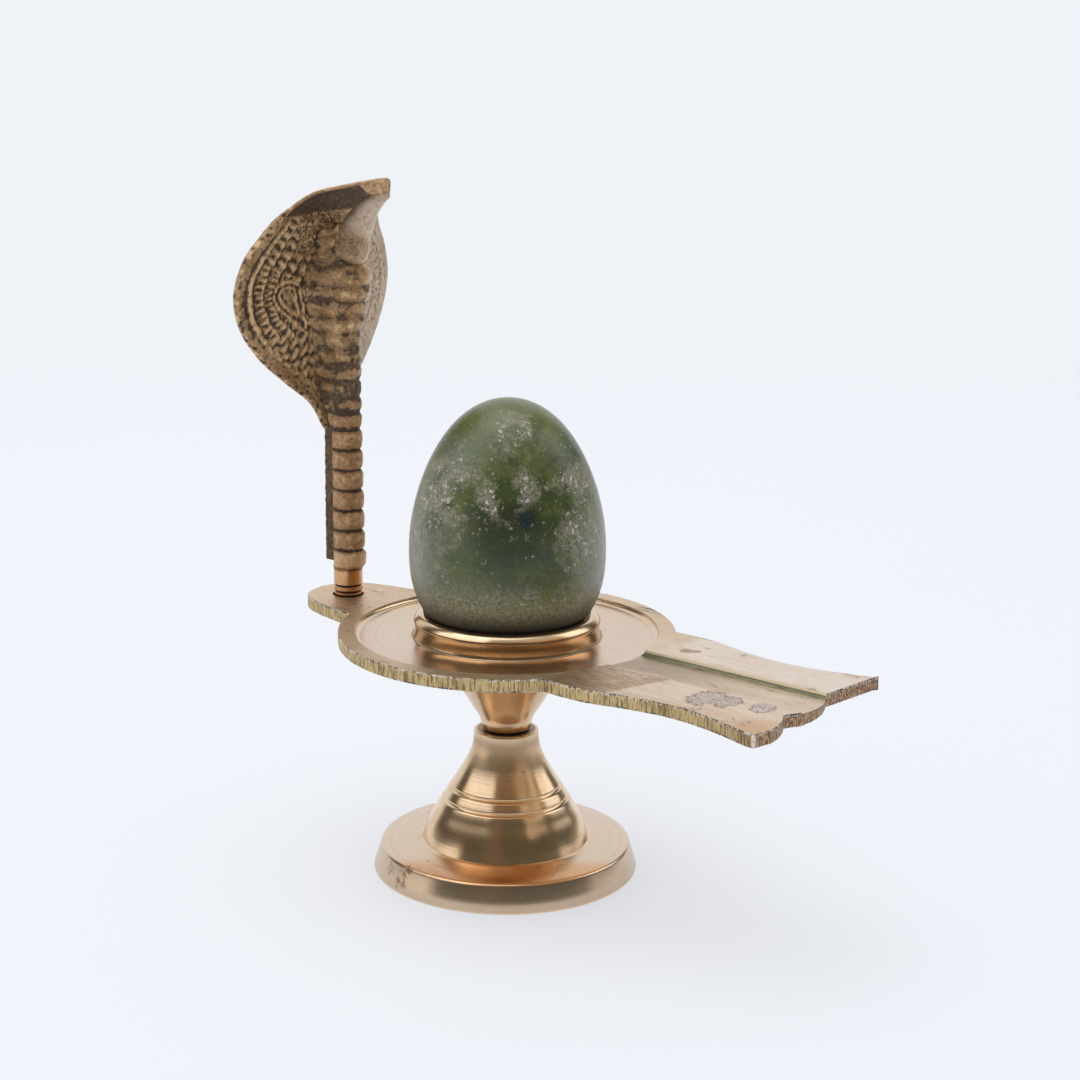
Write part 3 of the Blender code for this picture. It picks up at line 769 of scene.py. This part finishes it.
def tray_outline():
    """Disc, spout and tab as one closed outline, anticlockwise, in even steps."""
    side = spline(SPOUT_SIDE, 12)
    tab = spline(TAB_SIDE, 12)
    far_y = TAB_MIDDLE + TAB_ROOT_HALF
    near_y = TAB_MIDDLE - TAB_ROOT_HALF
    spout_angle = math.atan2(SPOUT_SIDE[0][1], SPOUT_SIDE[0][0])
    far_angle = math.pi - math.asin(far_y / TRAY_RADIUS)
    near_angle = math.pi - math.asin(near_y / TRAY_RADIUS)
    parts = [side[:-1] * (1, -1), [SPOUT_NEAR_CORNER], spline(SPOUT_END, 12), [SPOUT_FAR_CORNER], side[-2:0:-1]]
    parts += [disc_arc(spout_angle, far_angle, 160), tab + (0, TAB_MIDDLE)]
    parts += [tab[-2::-1] * (1, -1) + (0, TAB_MIDDLE), disc_arc(near_angle, 2 * math.pi - spout_angle, 160)]
    loop = np.vstack([np.asarray(part, float) for part in parts])
    closed = np.vstack([loop, loop[:1]])
    reach = np.concatenate([[0], np.cumsum(np.linalg.norm(np.diff(closed, axis=0), axis=1))])
    even = np.linspace(0, reach[-1], int(reach[-1] / OUTLINE_STEP), endpoint=False)
    return np.stack([np.interp(even, reach, closed[:, k]) for k in range(2)], axis=1)


def plate_mesh(top_finish, edge_finish):
    """The cut plate: flat faces with a ragged, striated edge between two thin burrs."""
    outline = tray_outline()
    count = len(outline)
    ahead = np.roll(outline, -3, axis=0) - np.roll(outline, 3, axis=0)
    outward = np.stack([ahead[:, 1], -ahead[:, 0]], axis=1)
    outward /= np.linalg.norm(outward, axis=1, keepdims=True)
    levels = [(TRAY_UNDERSIDE, -0.1), (44.16, -0.04), (44.3, 0.0), (44.9, 0.0)]
    levels += [(45.5, 0.0), (46.1, 0.0), (46.36, 0.02), (TRAY_TOP, -0.08)]
    burrs = (TRAY_UNDERSIDE, 46.36, TRAY_TOP)
    rows = []
    for height, offset in levels:
        cut = []
        for x, y in outline:
            saw = noise.noise(Vector((x * 1.7, y * 1.7, height * 0.08)))
            ragged = noise.noise(Vector((x * 2.6, y * 2.6, height * 2.0)))
            edge = 1.0 if height in burrs else 0.25
            cut.append(0.05 * saw + 0.06 * edge * ragged - 0.04)
        moved = outline + outward * (np.array(cut) + offset)[:, None]
        rows.append(np.column_stack([moved, np.full(count, height)]))
    mesh = lofted_mesh("tray_plate", rows, [top_finish, edge_finish])
    mesh.polygons.foreach_set("material_index", [1] * (len(mesh.polygons) - 2) + [0, 0])
    return mesh


def channel_mesh(floor_finish, side_finish):
    """The groove that runs along the spout from the recess out past its end."""
    count = len(CHANNEL_SECTION)
    points = [(CHANNEL_START, y, z) for y, z in CHANNEL_SECTION] + [(CHANNEL_END, y, z) for y, z in CHANNEL_SECTION]
    faces = [list(range(count)), list(range(count, 2 * count))]
    faces += [[i, (i + 1) % count, count + (i + 1) % count, count + i] for i in range(count)]
    mesh = new_mesh("channel", points, faces, [floor_finish, side_finish])
    mesh.polygons.foreach_set("material_index", [0, 0, 0] + [1] * (count - 1))
    return mesh


def recess_profile():
    floor = [(0.5, RECESS_FLOOR), (27.1, RECESS_FLOOR), (27.5, 45.56), (27.8, 45.7), (28.0, 45.9), (28.12, 46.2)]
    return floor + [(RECESS_RADIUS, 46.53), (RECESS_RADIUS, 48.0), (0.5, 48.0)]


def centre_profile():
    """Half outline of spigot, waisted stem, and the collar round the stone's seat."""
    stem = [(0.5, 16.0), (2.6, 16.0), (3.0, 16.4), (3.0, 27.47), (4.2, 27.47), (4.5, 27.6), (4.66, 27.85)]
    curve = spline(STEM_CURVE, 24)[::-1]
    stem += [(r, h) for r, h in curve if h > 29.4]
    collar = [(17.6, 45.2), (17.5, 45.52), (17.35, 45.62), (17.25, 45.8), (17.16, 46.3), (17.1, 47.2), (17.15, 48.0)]
    collar += [(17.27, 48.3), (17.26, 48.5), (17.1, 48.8), (16.75, 49.3), (16.35, 49.7), (15.9, 49.93), (15.4, 50.0)]
    return stem + collar + [(0.5, 50.0)]


def ring_swell(height):
    """How far the body swells at a height: full rings below, soft belly ribs on the hood."""
    rows = []
    for ring in range(RING_COUNT):
        low = RING_START + ring * RING_PITCH
        full = 1.1 if ring == 0 else 1.02
        rows += [(low, 0.87), (low + 0.2, 0.97), (low + 0.8, full), (low + 1.8, full + 0.03), (low + 2.75, full + 0.03)]
        rows += [(low + 3.1, full), (low + 3.75, 0.86)]
    neck = RING_START + RING_COUNT * RING_PITCH
    for rib in range(RIB_COUNT):
        low = neck + rib * RIB_PITCH
        rows += [(low, 0.91), (low + 0.4, 0.95), (low + 1.1, 1.03), (low + 1.9, 1.04), (low + 2.6, 0.97)]
    rows += [(neck + RIB_COUNT * RIB_PITCH, 0.96), (120.0, 0.99)]
    table = np.array(rows)
    return np.interp(height, table[:, 0], table[:, 1])


def body_mesh(finish):
    """The ringed body and the belly ridge as one loft, roughened by the mould."""
    stations = np.array(BODY_STATIONS)
    heights = np.arange(RING_START, BODY_TOP, BODY_STEP)
    columns = 96
    angles = 2 * math.pi * (np.arange(columns) + 0.5) / columns
    c, s = np.cos(angles), np.sin(angles)
    swells = ring_swell(heights)
    rows = []
    relief = []
    polish_and_highlight = []
    for height, swell in zip(heights, swells):
        middle, forward, back, half, square = (np.interp(height, stations[:, 0], stations[:, k]) for k in range(1, 6))
        square_back = np.interp(height, (79.0, 86.0), (square, 7.0))
        power = np.where(c > 0, 2 / square, 2 / square_back)
        cc = np.sign(c) * np.abs(c) ** power
        ss = np.sign(s) * np.abs(s) ** power
        lift = 1 + (swell - 1) * np.clip(c + 0.7, 0, 1)
        reach = np.where(cc > 0, forward * swell, back)
        spread = 1 + 0.6 * smooth_step(height, 81.0, 88.0) * np.clip(-cc, 0, 1) ** 3
        row = np.column_stack([middle + reach * cc, COBRA_Y + half * lift * spread * ss, np.full(columns, height)])
        rough = 0.06 + 0.1 * smooth_step(height, 79.0, 82.0) + 0.2 * smooth_step(height, 111.0, 113.0)
        pitted = np.array([noise.noise(Vector(p) * 0.9) + 0.5 * noise.noise(Vector(p) * 2.3) for p in row])
        row[:, 0] += rough * pitted * c
        row[:, 1] += rough * pitted * s
        rows.append(row)
        hooded = smooth_step(height, 79.0, 86.0)
        mottle = np.array([noise.noise(Vector(p) * 0.35) for p in row])
        shade = (swell - 0.99) * np.interp(height, (79.0, 84.0), (6.5, 5.4)) - 0.05
        tone = shade + pitted * 0.5 + hooded * (0.9 * mottle - 0.14 - 0.55 * (1 - smooth_step(height, 88.0, 97.0)))
        relief.append(np.maximum(tone, -0.9 + 0.4 * hooded) + 0.5 * pitted * smooth_step(height, 110.0, 112.0))
        # Painted highlight: a glint down the front right of the belly ridge, just inside its outline as seen from the
        # camera.
        glint = np.exp(-((np.degrees(angles) - 27) / 20) ** 2)
        polish_and_highlight.append(glint * np.interp(height, (79.0, 88.0, 100.0), (0.0, 0.4, 0.95)) * (0.6 + 4 * (swell - 0.95)))
    mesh = lofted_mesh("cobra_body", rows, [finish])
    set_values(mesh, "relief", np.concatenate(relief))
    set_values(mesh, "polish_and_highlight", np.clip(np.concatenate(polish_and_highlight), 0, 1))
    return mesh


def smooth_step(value, low, high):
    t = np.clip((value - low) / (high - low), 0, 1)
    return t * t * (3 - 2 * t)


def ridge(value, width):
    """A rounded ridge of height 1 at value 0, gone at width."""
    return np.clip(1 - (value / width) ** 2, 0, 1)


def mark_distance(side, height):
    """Distance from the outline of the drop-shaped mark on a wing, below 0 inside it."""
    start = np.array(MARK_POINT)
    axis = np.array(MARK_MIDDLE) - start
    length = np.linalg.norm(axis)
    axis /= length
    dx = side - start[0]
    dz = height - start[1]
    along = dx * axis[0] + dz * axis[1]
    across = np.abs(dx * axis[1] - dz * axis[0])
    small = 0.3
    slope = (small - MARK_RADIUS) / length
    flat = math.sqrt(1 - slope * slope)
    key = -across * slope + along * flat
    low = np.hypot(across, along) - small
    high = np.hypot(across, along - length) - MARK_RADIUS
    flank = across * flat + along * slope - small
    return np.where(key < 0, low, np.where(key > flat * length, high, flank))


def hood_relief(side, height, edge, reach, grain, coarse):
    """Ornament of the hood in shares of its full height, over distance in from the edge and along it."""
    bead_share = 0.35 + 0.65 * smooth_step(height, 93.0, 101.0)
    bead_share *= 1 - smooth_step(height, 119.0, 121.0)
    bead = ridge(edge - BEAD_INSET + 0.25 * coarse, 0.65) * bead_share * (0.85 + 0.5 * grain)
    shifted = (edge - 3.4 + 0.35 * coarse) / SCALE_LENGTH
    row = np.floor(shifted)
    inward = shifted - row
    along = reach / SCALE_HEIGHT + 0.5 * (row % 2) + 0.3 * coarse
    aside = np.abs(2 * (along % 1) - 1)
    scales = np.clip(1.15 * inward + 0.12 - aside, 0, 1) ** 0.8 * (1 - smooth_step(inward, 0.86, 0.98))
    lean = side * -0.6 + height * 0.8
    across = side * 0.8 + height * 0.6 + 0.3 * coarse
    dash_row = np.floor(across / 1.35)
    dashes = ridge((across / 1.35 - dash_row) * 2 - 1, 0.9)
    dashes *= ridge(((lean / 3.6 + 0.5 * (dash_row % 2) + 0.2 * coarse) % 1) * 2 - 1, 0.9)
    upper = smooth_step(height, 96.5, 98.5)
    lower = smooth_step(height, 84.0, 89.0)
    field = scales * upper + 0.6 * dashes * (1 - upper) * lower
    rough = smooth_step(height, 111.0, 113.5) * (1 - smooth_step(side, 6.5, 8.5))
    worms = np.abs(grain) * 1.4 - 0.25
    field = field * (1 - rough) + worms * rough
    mark = mark_distance(side, height) + 0.45 * coarse
    inner = 1 - smooth_step(side, 3.4, 4.6)
    inner *= 1 - rough
    waves = np.sin(height * 2.07 + 2.0 * coarse) * smooth_step(height, 86.0, 92.0)
    field = field * (1 - inner) + 0.3 * inner * waves
    field *= smooth_step(mark, 0.4, 0.8) * smooth_step(edge, 3.2, 3.7)
    loops = np.maximum(ridge(mark, 0.45), 0.75 * ridge(mark + 1.3, 0.4)) * (0.75 + 0.7 * grain)
    stroke = ridge(side - 7.6 + (height - 103.5) * -0.45, 0.45) * ridge(height - 103.0, 3.0)
    loops = np.maximum(loops, 0.7 * stroke)
    visor = 1 - smooth_step(height, 120.2, 121.0)
    return bead + (field + 0.8 * loops) * visor + 0.28 * grain * (0.4 + 0.6 * visor)


def blurred(values, reach):
    """Each value averaged with those up to reach steps away."""
    total = np.zeros_like(values)
    for r in range(-reach, reach + 1):
        for c in range(-reach, reach + 1):
            total += np.roll(np.roll(values, r, axis=0), c, axis=1)
    return total / (2 * reach + 1) ** 2


def hood_mesh(finish, relief_height):
    """The spread hood: a thin swept sheet with cast ornament on its front."""
    stations = spline(HOOD_STATIONS, 18)
    columns = 181
    share = np.linspace(-1, 1, columns)
    edge_x, half, edge_z, centre_x, centre_z = (stations[:, k][:, None] for k in range(5))
    y = half * share[None, :]
    x = centre_x + (edge_x - centre_x) * share[None, :] ** 2
    z = centre_z + (edge_z - centre_z) * share[None, :] ** 2
    middle = np.stack([x, y, z], axis=2)
    rim = spline(HOOD_STATIONS, 90)
    spots = [Vector((r[0], r[1], r[2])) for r in rim]
    spots += [Vector((rim[-1][0], side, rim[-1][2])) for side in np.linspace(0, rim[-1][1], 8)]
    path = np.concatenate([[0], np.cumsum([(b - a).length for a, b in zip(spots, spots[1:])])])
    tree = kdtree.KDTree(len(spots))
    for i, spot in enumerate(spots):
        tree.insert(spot, i)
    tree.balance()
    edge, reach, grain, coarse = np.zeros((4, *y.shape))
    for at in np.ndindex(y.shape):
        _, index, edge[at] = tree.find(Vector((x[at], abs(y[at]), z[at])))
        reach[at] = path[index]
        grain[at] = noise.noise(Vector((x[at], y[at] * 1.6, z[at] * 1.6)))
        coarse[at] = noise.noise(Vector((x[at], y[at] * 0.45, z[at] * 0.45)))
    height = hood_relief(np.abs(y), z, edge, reach, grain, coarse)
    along = np.gradient(middle, axis=0)
    across = np.gradient(middle, axis=1)
    normal = np.cross(across, along)
    normal /= np.linalg.norm(normal, axis=2, keepdims=True)
    round_off = np.sqrt(np.clip(1 - np.clip(1 - edge / HOOD_HALF_THICKNESS, 0, 1) ** 2 * 0.9, 0, 1))
    thick = HOOD_HALF_THICKNESS * (1 - 0.6 * smooth_step(z, 118.5, 122.5)) * round_off
    height *= 1 - 0.6 * smooth_step(y, 3.0, 6.0)
    block = 2.1 * smooth_step(x, -32.0, -30.2)
    front = middle + normal * (thick + block + height * relief_height / MM)[..., None]
    back = middle - normal * (thick - 0.08 * grain)[..., None]
    back[..., 2] -= 0.95 * smooth_step(x, -30.0, -28.2) ** 2
    points = np.concatenate([front.reshape(-1, 3), back.reshape(-1, 3)])
    points[:, 1] += COBRA_Y
    rows = len(stations)
    size = rows * columns
    faces = grid_faces(rows, columns) + grid_faces(rows, columns, start=size)
    border = list(range(columns)) + [r * columns + columns - 1 for r in range(1, rows)]
    border += list(range(size - 2, size - columns - 1, -1)) + [r * columns for r in range(rows - 2, 0, -1)]
    faces += [[a, b, size + b, size + a] for a, b in zip(border, border[1:] + border[:1])]
    mesh = new_mesh("cobra_hood", points, faces, [finish])
    raised = (height - blurred(height, 4)) * 2.5
    # The visor's underside is darkened, as patina and as painted shade under the overhang.
    underside = smooth_step(z, 120.3, 120.8) * smooth_step(edge, 0.4, 0.9) * (1 - smooth_step(x, -32.0, -30.5))
    raised = raised * (1 - underside) - 0.5 * underside
    raised += (0.1 + 0.9 * grain) * (1 - smooth_step(edge, 0.3, 0.8)) + 0.15 * smooth_step(x, -31.0, -30.0)
    raised -= 0.14 * (1 - smooth_step(edge, BEAD_INSET - 0.9, BEAD_INSET - 0.4)) * (y < 5.0) + 0.02
    # Painted sheen: the far wing is paler, as at its grazing view it reflects more.
    polish_and_highlight = 0.75 * smooth_step(y, 5.0, 8.0) * (0.8 + 0.5 * grain) * (1 - underside)
    set_values(mesh, "relief", np.concatenate([raised.ravel(), (grain * 0.5).ravel()]))
    set_values(mesh, "polish_and_highlight", np.concatenate([polish_and_highlight.ravel(), polish_and_highlight.ravel() * 0]))
    return mesh


def head_mesh(finish):
    """A smooth drop that rises from the throat and leans forward to the snout, hollow above its chin."""
    path = spline(HEAD_STATIONS, 9)
    middle = np.column_stack([path[:, 0], np.full(len(path), COBRA_Y), path[:, 1]])
    ahead = np.gradient(middle, axis=0)
    ahead /= np.linalg.norm(ahead, axis=1, keepdims=True)
    side = np.array([0.0, 1.0, 0.0])
    up = np.cross(ahead, side)
    columns = 96
    angles = 2 * math.pi * np.arange(columns) / columns
    turn = (np.degrees(angles) - HOLLOW_TURN[0] + 180) % 360 - 180
    rows = []
    relief = []
    polish_and_highlight = []
    for spot, over, (_, height, radius) in zip(middle, up, path):
        away = np.hypot(turn / HOLLOW_TURN[1], (height - HOLLOW_HEIGHT[0]) / HOLLOW_HEIGHT[1])
        dent = ridge(away, 1.0)
        lip = ridge(away - 1.1, 0.2) * np.interp(height, (111.5, 114.5), (1.0, 0.0))
        fade = min(1.0, radius / 2.0)
        reach = radius + fade * (0.2 * lip - 0.4 * dent)
        rows.append(spot + np.outer(reach * np.cos(angles), side) + np.outer(reach * np.sin(angles), over))
        relief.append(0.2 - 0.56 * dent ** 0.4 + 0.4 * lip)
        # Pale painted sheen rising towards the top of the head, outside the hollow, together with real rubbing.
        polish_and_highlight.append(0.75 * (1 - dent) * np.interp(height, (111.0, 116.0, 121.0), (0.4, 0.7, 1.0)))
    mesh = lofted_mesh("cobra_head", rows, [finish])
    set_values(mesh, "relief", np.concatenate(relief))
    set_values(mesh, "polish_and_highlight", np.concatenate(polish_and_highlight))
    return mesh


def shank_mesh(finish):
    r = SHANK_RADIUS
    outline = [(0.5, 44.4), (r - 0.3, 44.4), (r, 44.7), (r, 47.1), (r - 0.3, 47.25), (r - 0.3, 47.45), (r, 47.6)]
    outline += [(r, 48.3), (r - 0.3, 48.45), (r - 0.3, 48.65), (r, 48.8), (r, 51.4), (r + 0.1, 52.3), (0.5, 52.6)]
    return turned_mesh("cobra_shank", outline, [finish], (COBRA_X, COBRA_Y), 64)


def strip_mesh(finish):
    """The flat strip behind the rings, left rough from the mould."""
    heights = np.arange(*STRIP_HEIGHTS)
    corners = [(-39.0, -1.9), (-42.7, -STRIP_HALF), (-43.0, -1.85), (STRIP_BACK, -1.4), (STRIP_BACK, 0.0)]
    corners += [(x, -y) for x, y in corners[-2::-1]]
    pairs = zip(corners, corners[1:] + corners[:1])
    section = np.vstack([np.linspace(a, b, 6, endpoint=False) for a, b in pairs])
    rows = []
    for height in heights:
        row = np.column_stack([section[:, 0], section[:, 1] + COBRA_Y, np.full(len(section), height)])
        for point in row:
            point[0] += 0.12 * noise.noise(Vector(point) * 1.3)
            point[1] += 0.12 * noise.noise(Vector(point) * 1.3 + Vector((9, 0, 0)))
        rows.append(row)
    mesh = lofted_mesh("cobra_strip", rows, [finish])
    set_values(mesh, "relief", np.full(len(mesh.vertices), -0.5))
    return mesh


class LINGAM_OT_stone(Operator):
    """Adds the polished stone"""

    bl_idname = "lingam.stone"
    bl_label = "Stone"

    def execute(self, context):
        settings = context.scene.lingam_stone
        profile = stone_profile(settings.radius / MM)
        mesh = turned_mesh("stone", profile, [green_stone(settings)], steps=160)
        finish_piece(new_object("stone", mesh), "lingam_stone", sharp=60.0)
        return {"FINISHED"}


class LINGAM_OT_foot(Operator):
    """Adds the turned foot"""

    bl_idname = "lingam.foot"
    bl_label = "Foot"

    def execute(self, context):
        settings = context.scene.lingam_brass
        grow = settings.foot_radius / MM / FOOT_RADIUS
        profile = [(r * grow if h < FLANGE_TOP else r, h) for r, h in foot_profile()]
        mesh = turned_mesh("turned_foot", profile, [turned_brass(settings)])
        finish_piece(new_object("turned_foot", mesh), "foot", sharp=38.0)
        return {"FINISHED"}


class LINGAM_OT_tray(Operator):
    """Adds the tray with its spout, seat and stem"""

    bl_idname = "lingam.tray"
    bl_label = "Tray"

    def execute(self, context):
        settings = context.scene.lingam_brass
        turned = turned_brass(settings)
        plate = plate_brass(settings)
        tray = new_object("yoni_tray", plate_mesh(plate, sawn_brass(settings)))
        combine(tray, turned_mesh("recess", recess_profile(), [turned]), "DIFFERENCE")
        combine(tray, channel_mesh(plate, channel_brass(settings)), "DIFFERENCE")
        hole_radius = SHANK_RADIUS + FIT_GAP
        hole = [(0.5, 40.0), (hole_radius, 40.0), (hole_radius, 50.0), (0.5, 50.0)]
        combine(tray, turned_mesh("tab_hole", hole, [turned], (COBRA_X, COBRA_Y), 64), "DIFFERENCE")
        combine(tray, turned_mesh("seat_and_stem", centre_profile(), [turned]), "UNION")
        seat = stone_profile(context.scene.lingam_stone.radius / MM, FIT_GAP)
        combine(tray, turned_mesh("seat", seat, [turned]), "DIFFERENCE")
        finish_piece(tray, "tray", sharp=26.0)
        return {"FINISHED"}


class LINGAM_OT_cobra(Operator):
    """Adds the cobra's shank, body, hood and head"""

    bl_idname = "lingam.cobra"
    bl_label = "Cobra"

    def execute(self, context):
        settings = context.scene.lingam_brass
        cast = cast_brass(settings)
        pin = pin_brass(settings)
        meshes = [shank_mesh(pin), body_mesh(cast), strip_mesh(cast)]
        meshes += [hood_mesh(cast, settings.relief), head_mesh(cast)]
        for mesh in meshes:
            finish_piece(new_object(mesh.name, mesh), "cobra", sharp=50.0)
        return {"FINISHED"}


class LINGAM_OT_stage(Operator):
    """Adds the floor, lights, surroundings and camera"""

    bl_idname = "lingam.stage"
    bl_label = "Stage"

    def execute(self, context):
        settings = context.scene.lingam_stage
        add_floor(settings)
        add_surroundings(context.scene, settings)
        add_softbox("overhead", (-150, -60, 600), (0, 0, 60), (420, 420), 0.7 * settings.light)
        add_camera(context.scene)
        context.scene.view_settings.view_transform = "Standard"
        return {"FINISHED"}


def add_floor(settings):
    """A flat floor, square to the camera's view."""
    ahead = Vector((CAMERA_AIM[0] - CAMERA_PLACE[0], CAMERA_AIM[1] - CAMERA_PLACE[1], 0.0)).normalized()
    across = Vector((-ahead.y, ahead.x, 0.0))
    aside, back, front = FLOOR_SIZE
    corners = [across * aside + ahead * back, across * -aside + ahead * back]
    corners += [across * -aside - ahead * front, across * aside - ahead * front]
    mesh = new_mesh("floor", [tuple(c) for c in corners], [[0, 1, 2, 3]], [white_floor(settings)])
    floor = new_object("floor", mesh)
    if floor.data.polygons[0].normal.z < 0:
        floor.data.flip_normals()


def add_surroundings(scene, settings):
    """A pale backdrop for the camera, and for reflections a studio: softboxes, pale walls and a dim front."""
    world = bpy.data.worlds.new("surroundings")
    world.cycles.sampling_method = "NONE"
    scene.world = world
    n = Nodes(world, (0.12, 0.115, 0.095))
    way = n.add("ShaderNodeTexCoord", output=0)
    x, y, z = n.parts(way)
    front = reach_along(x, y, TO_CAMERA)
    aside = reach_along(x, y, (-TO_CAMERA[1], TO_CAMERA[0]))
    bearing = aside.maths("ARCTAN2", aside, front) * DEGREES
    rise = z.maths("ARCSINE", z) * DEGREES
    lift = rise + bearing * bearing * SOFTBOX_BOW
    behind = 1 - bearing.between(-128, 146, 6)
    lit = lift.between(42.6, 75, 2.6)
    left_box = bearing.between(-104, -30, 4) * lit
    right_box = bearing.between(88, 124, 4) * lit
    sides = (bearing.between(-140, -66, 4) + bearing.between(82, 128, 5) * 0.6) * lift.between(2, 24, 3)
    middle = bearing.between(-30, 30, 5)
    n.coat((0.17, 0.13, 0.1), bearing.between(-28, -4, 4))
    n.coat((0.4, 0.38, 0.34), rise.below(-1, 9))
    n.coat((0.28, 0.19, 0.13), middle * lit)
    n.coat((0.6, 0.4, 0.2), bearing.between(30, 86, 4) * lit)
    n.coat((1.15, 1.1, 1.05), sides)
    n.coat((0.55, 0.54, 0.52), bearing.between(-104, 104, 5) * lift.above(50, 56))
    n.coat((1.6, 1.6, 1.66), left_box + right_box)
    n.coat((0.87, 0.89, 0.93), behind)
    n.coat((1.6, 1.62, 1.65), rise.above(62, 74))
    even = n.blend((0.76, 0.78, 0.82), (1.0, 1.02, 1.06), rise.above(0, 80))
    n.coat(even, n.add("ShaderNodeLightPath", output=2))
    n.coat(settings.backdrop, n.add("ShaderNodeLightPath"))
    background = n.add("ShaderNodeBackground", {}, {"Color": n.colour, "Strength": 1.0})
    n.add("ShaderNodeOutputWorld", {}, {"Surface": background})


def add_softbox(name, place, aim, size, power):
    light = bpy.data.lights.new(name, "AREA")
    light.shape = "RECTANGLE"
    light.size, light.size_y = (s * MM for s in size)
    light.energy = power
    obj = new_object(name, light)
    obj.location = Vector(place) * MM
    obj.rotation_euler = (Vector(aim) - Vector(place)).to_track_quat("-Z", "Y").to_euler()


def add_camera(scene):
    ahead = (Vector(CAMERA_AIM) - Vector(CAMERA_PLACE)).normalized()
    level = ahead.cross(Vector((0, 0, 1))).normalized()
    above = level.cross(ahead)
    roll = math.radians(CAMERA_ROLL)
    right = level * math.cos(roll) + above * math.sin(roll)
    up = above * math.cos(roll) - level * math.sin(roll)
    data = bpy.data.cameras.new("camera")
    data.lens = CAMERA_LENS
    data.sensor_width = 36
    data.clip_start = 0.01
    camera = new_object("camera", data)
    turn = Matrix((right, up, -ahead)).transposed().to_4x4()
    camera.matrix_world = Matrix.Translation(Vector(CAMERA_PLACE) * MM) @ turn
    scene.camera = camera


class LINGAM_PT_panel(Panel):
    """Lists the pieces"""

    bl_label = "Lingam"
    bl_idname = "LINGAM_PT_panel"
    bl_space_type = "VIEW_3D"
    bl_region_type = "UI"
    bl_category = "Lingam"

    def draw(self, context):
        for group in (context.scene.lingam_stone, context.scene.lingam_brass, context.scene.lingam_stage):
            for name in group.__annotations__:
                self.layout.prop(group, name)
        for operator in OPERATORS:
            self.layout.operator(operator.bl_idname)


OPERATORS = (LINGAM_OT_stone, LINGAM_OT_foot, LINGAM_OT_tray, LINGAM_OT_cobra, LINGAM_OT_stage)
CLASSES = (StoneSettings, BrassSettings, StageSettings, *OPERATORS, LINGAM_PT_panel)


def register():
    for cls in CLASSES:
        bpy.utils.register_class(cls)
    bpy.types.Scene.lingam_stone = PointerProperty(type=StoneSettings)
    bpy.types.Scene.lingam_brass = PointerProperty(type=BrassSettings)
    bpy.types.Scene.lingam_stage = PointerProperty(type=StageSettings)


def unregister():
    del bpy.types.Scene.lingam_stage
    del bpy.types.Scene.lingam_brass
    del bpy.types.Scene.lingam_stone
    for cls in reversed(CLASSES):
        bpy.utils.unregister_class(cls)


def main():
    register()
    bpy.ops.lingam.stone()
    bpy.ops.lingam.foot()
    bpy.ops.lingam.tray()
    bpy.ops.lingam.cobra()
    bpy.ops.lingam.stage()


if __name__ == "__main__":
    main()
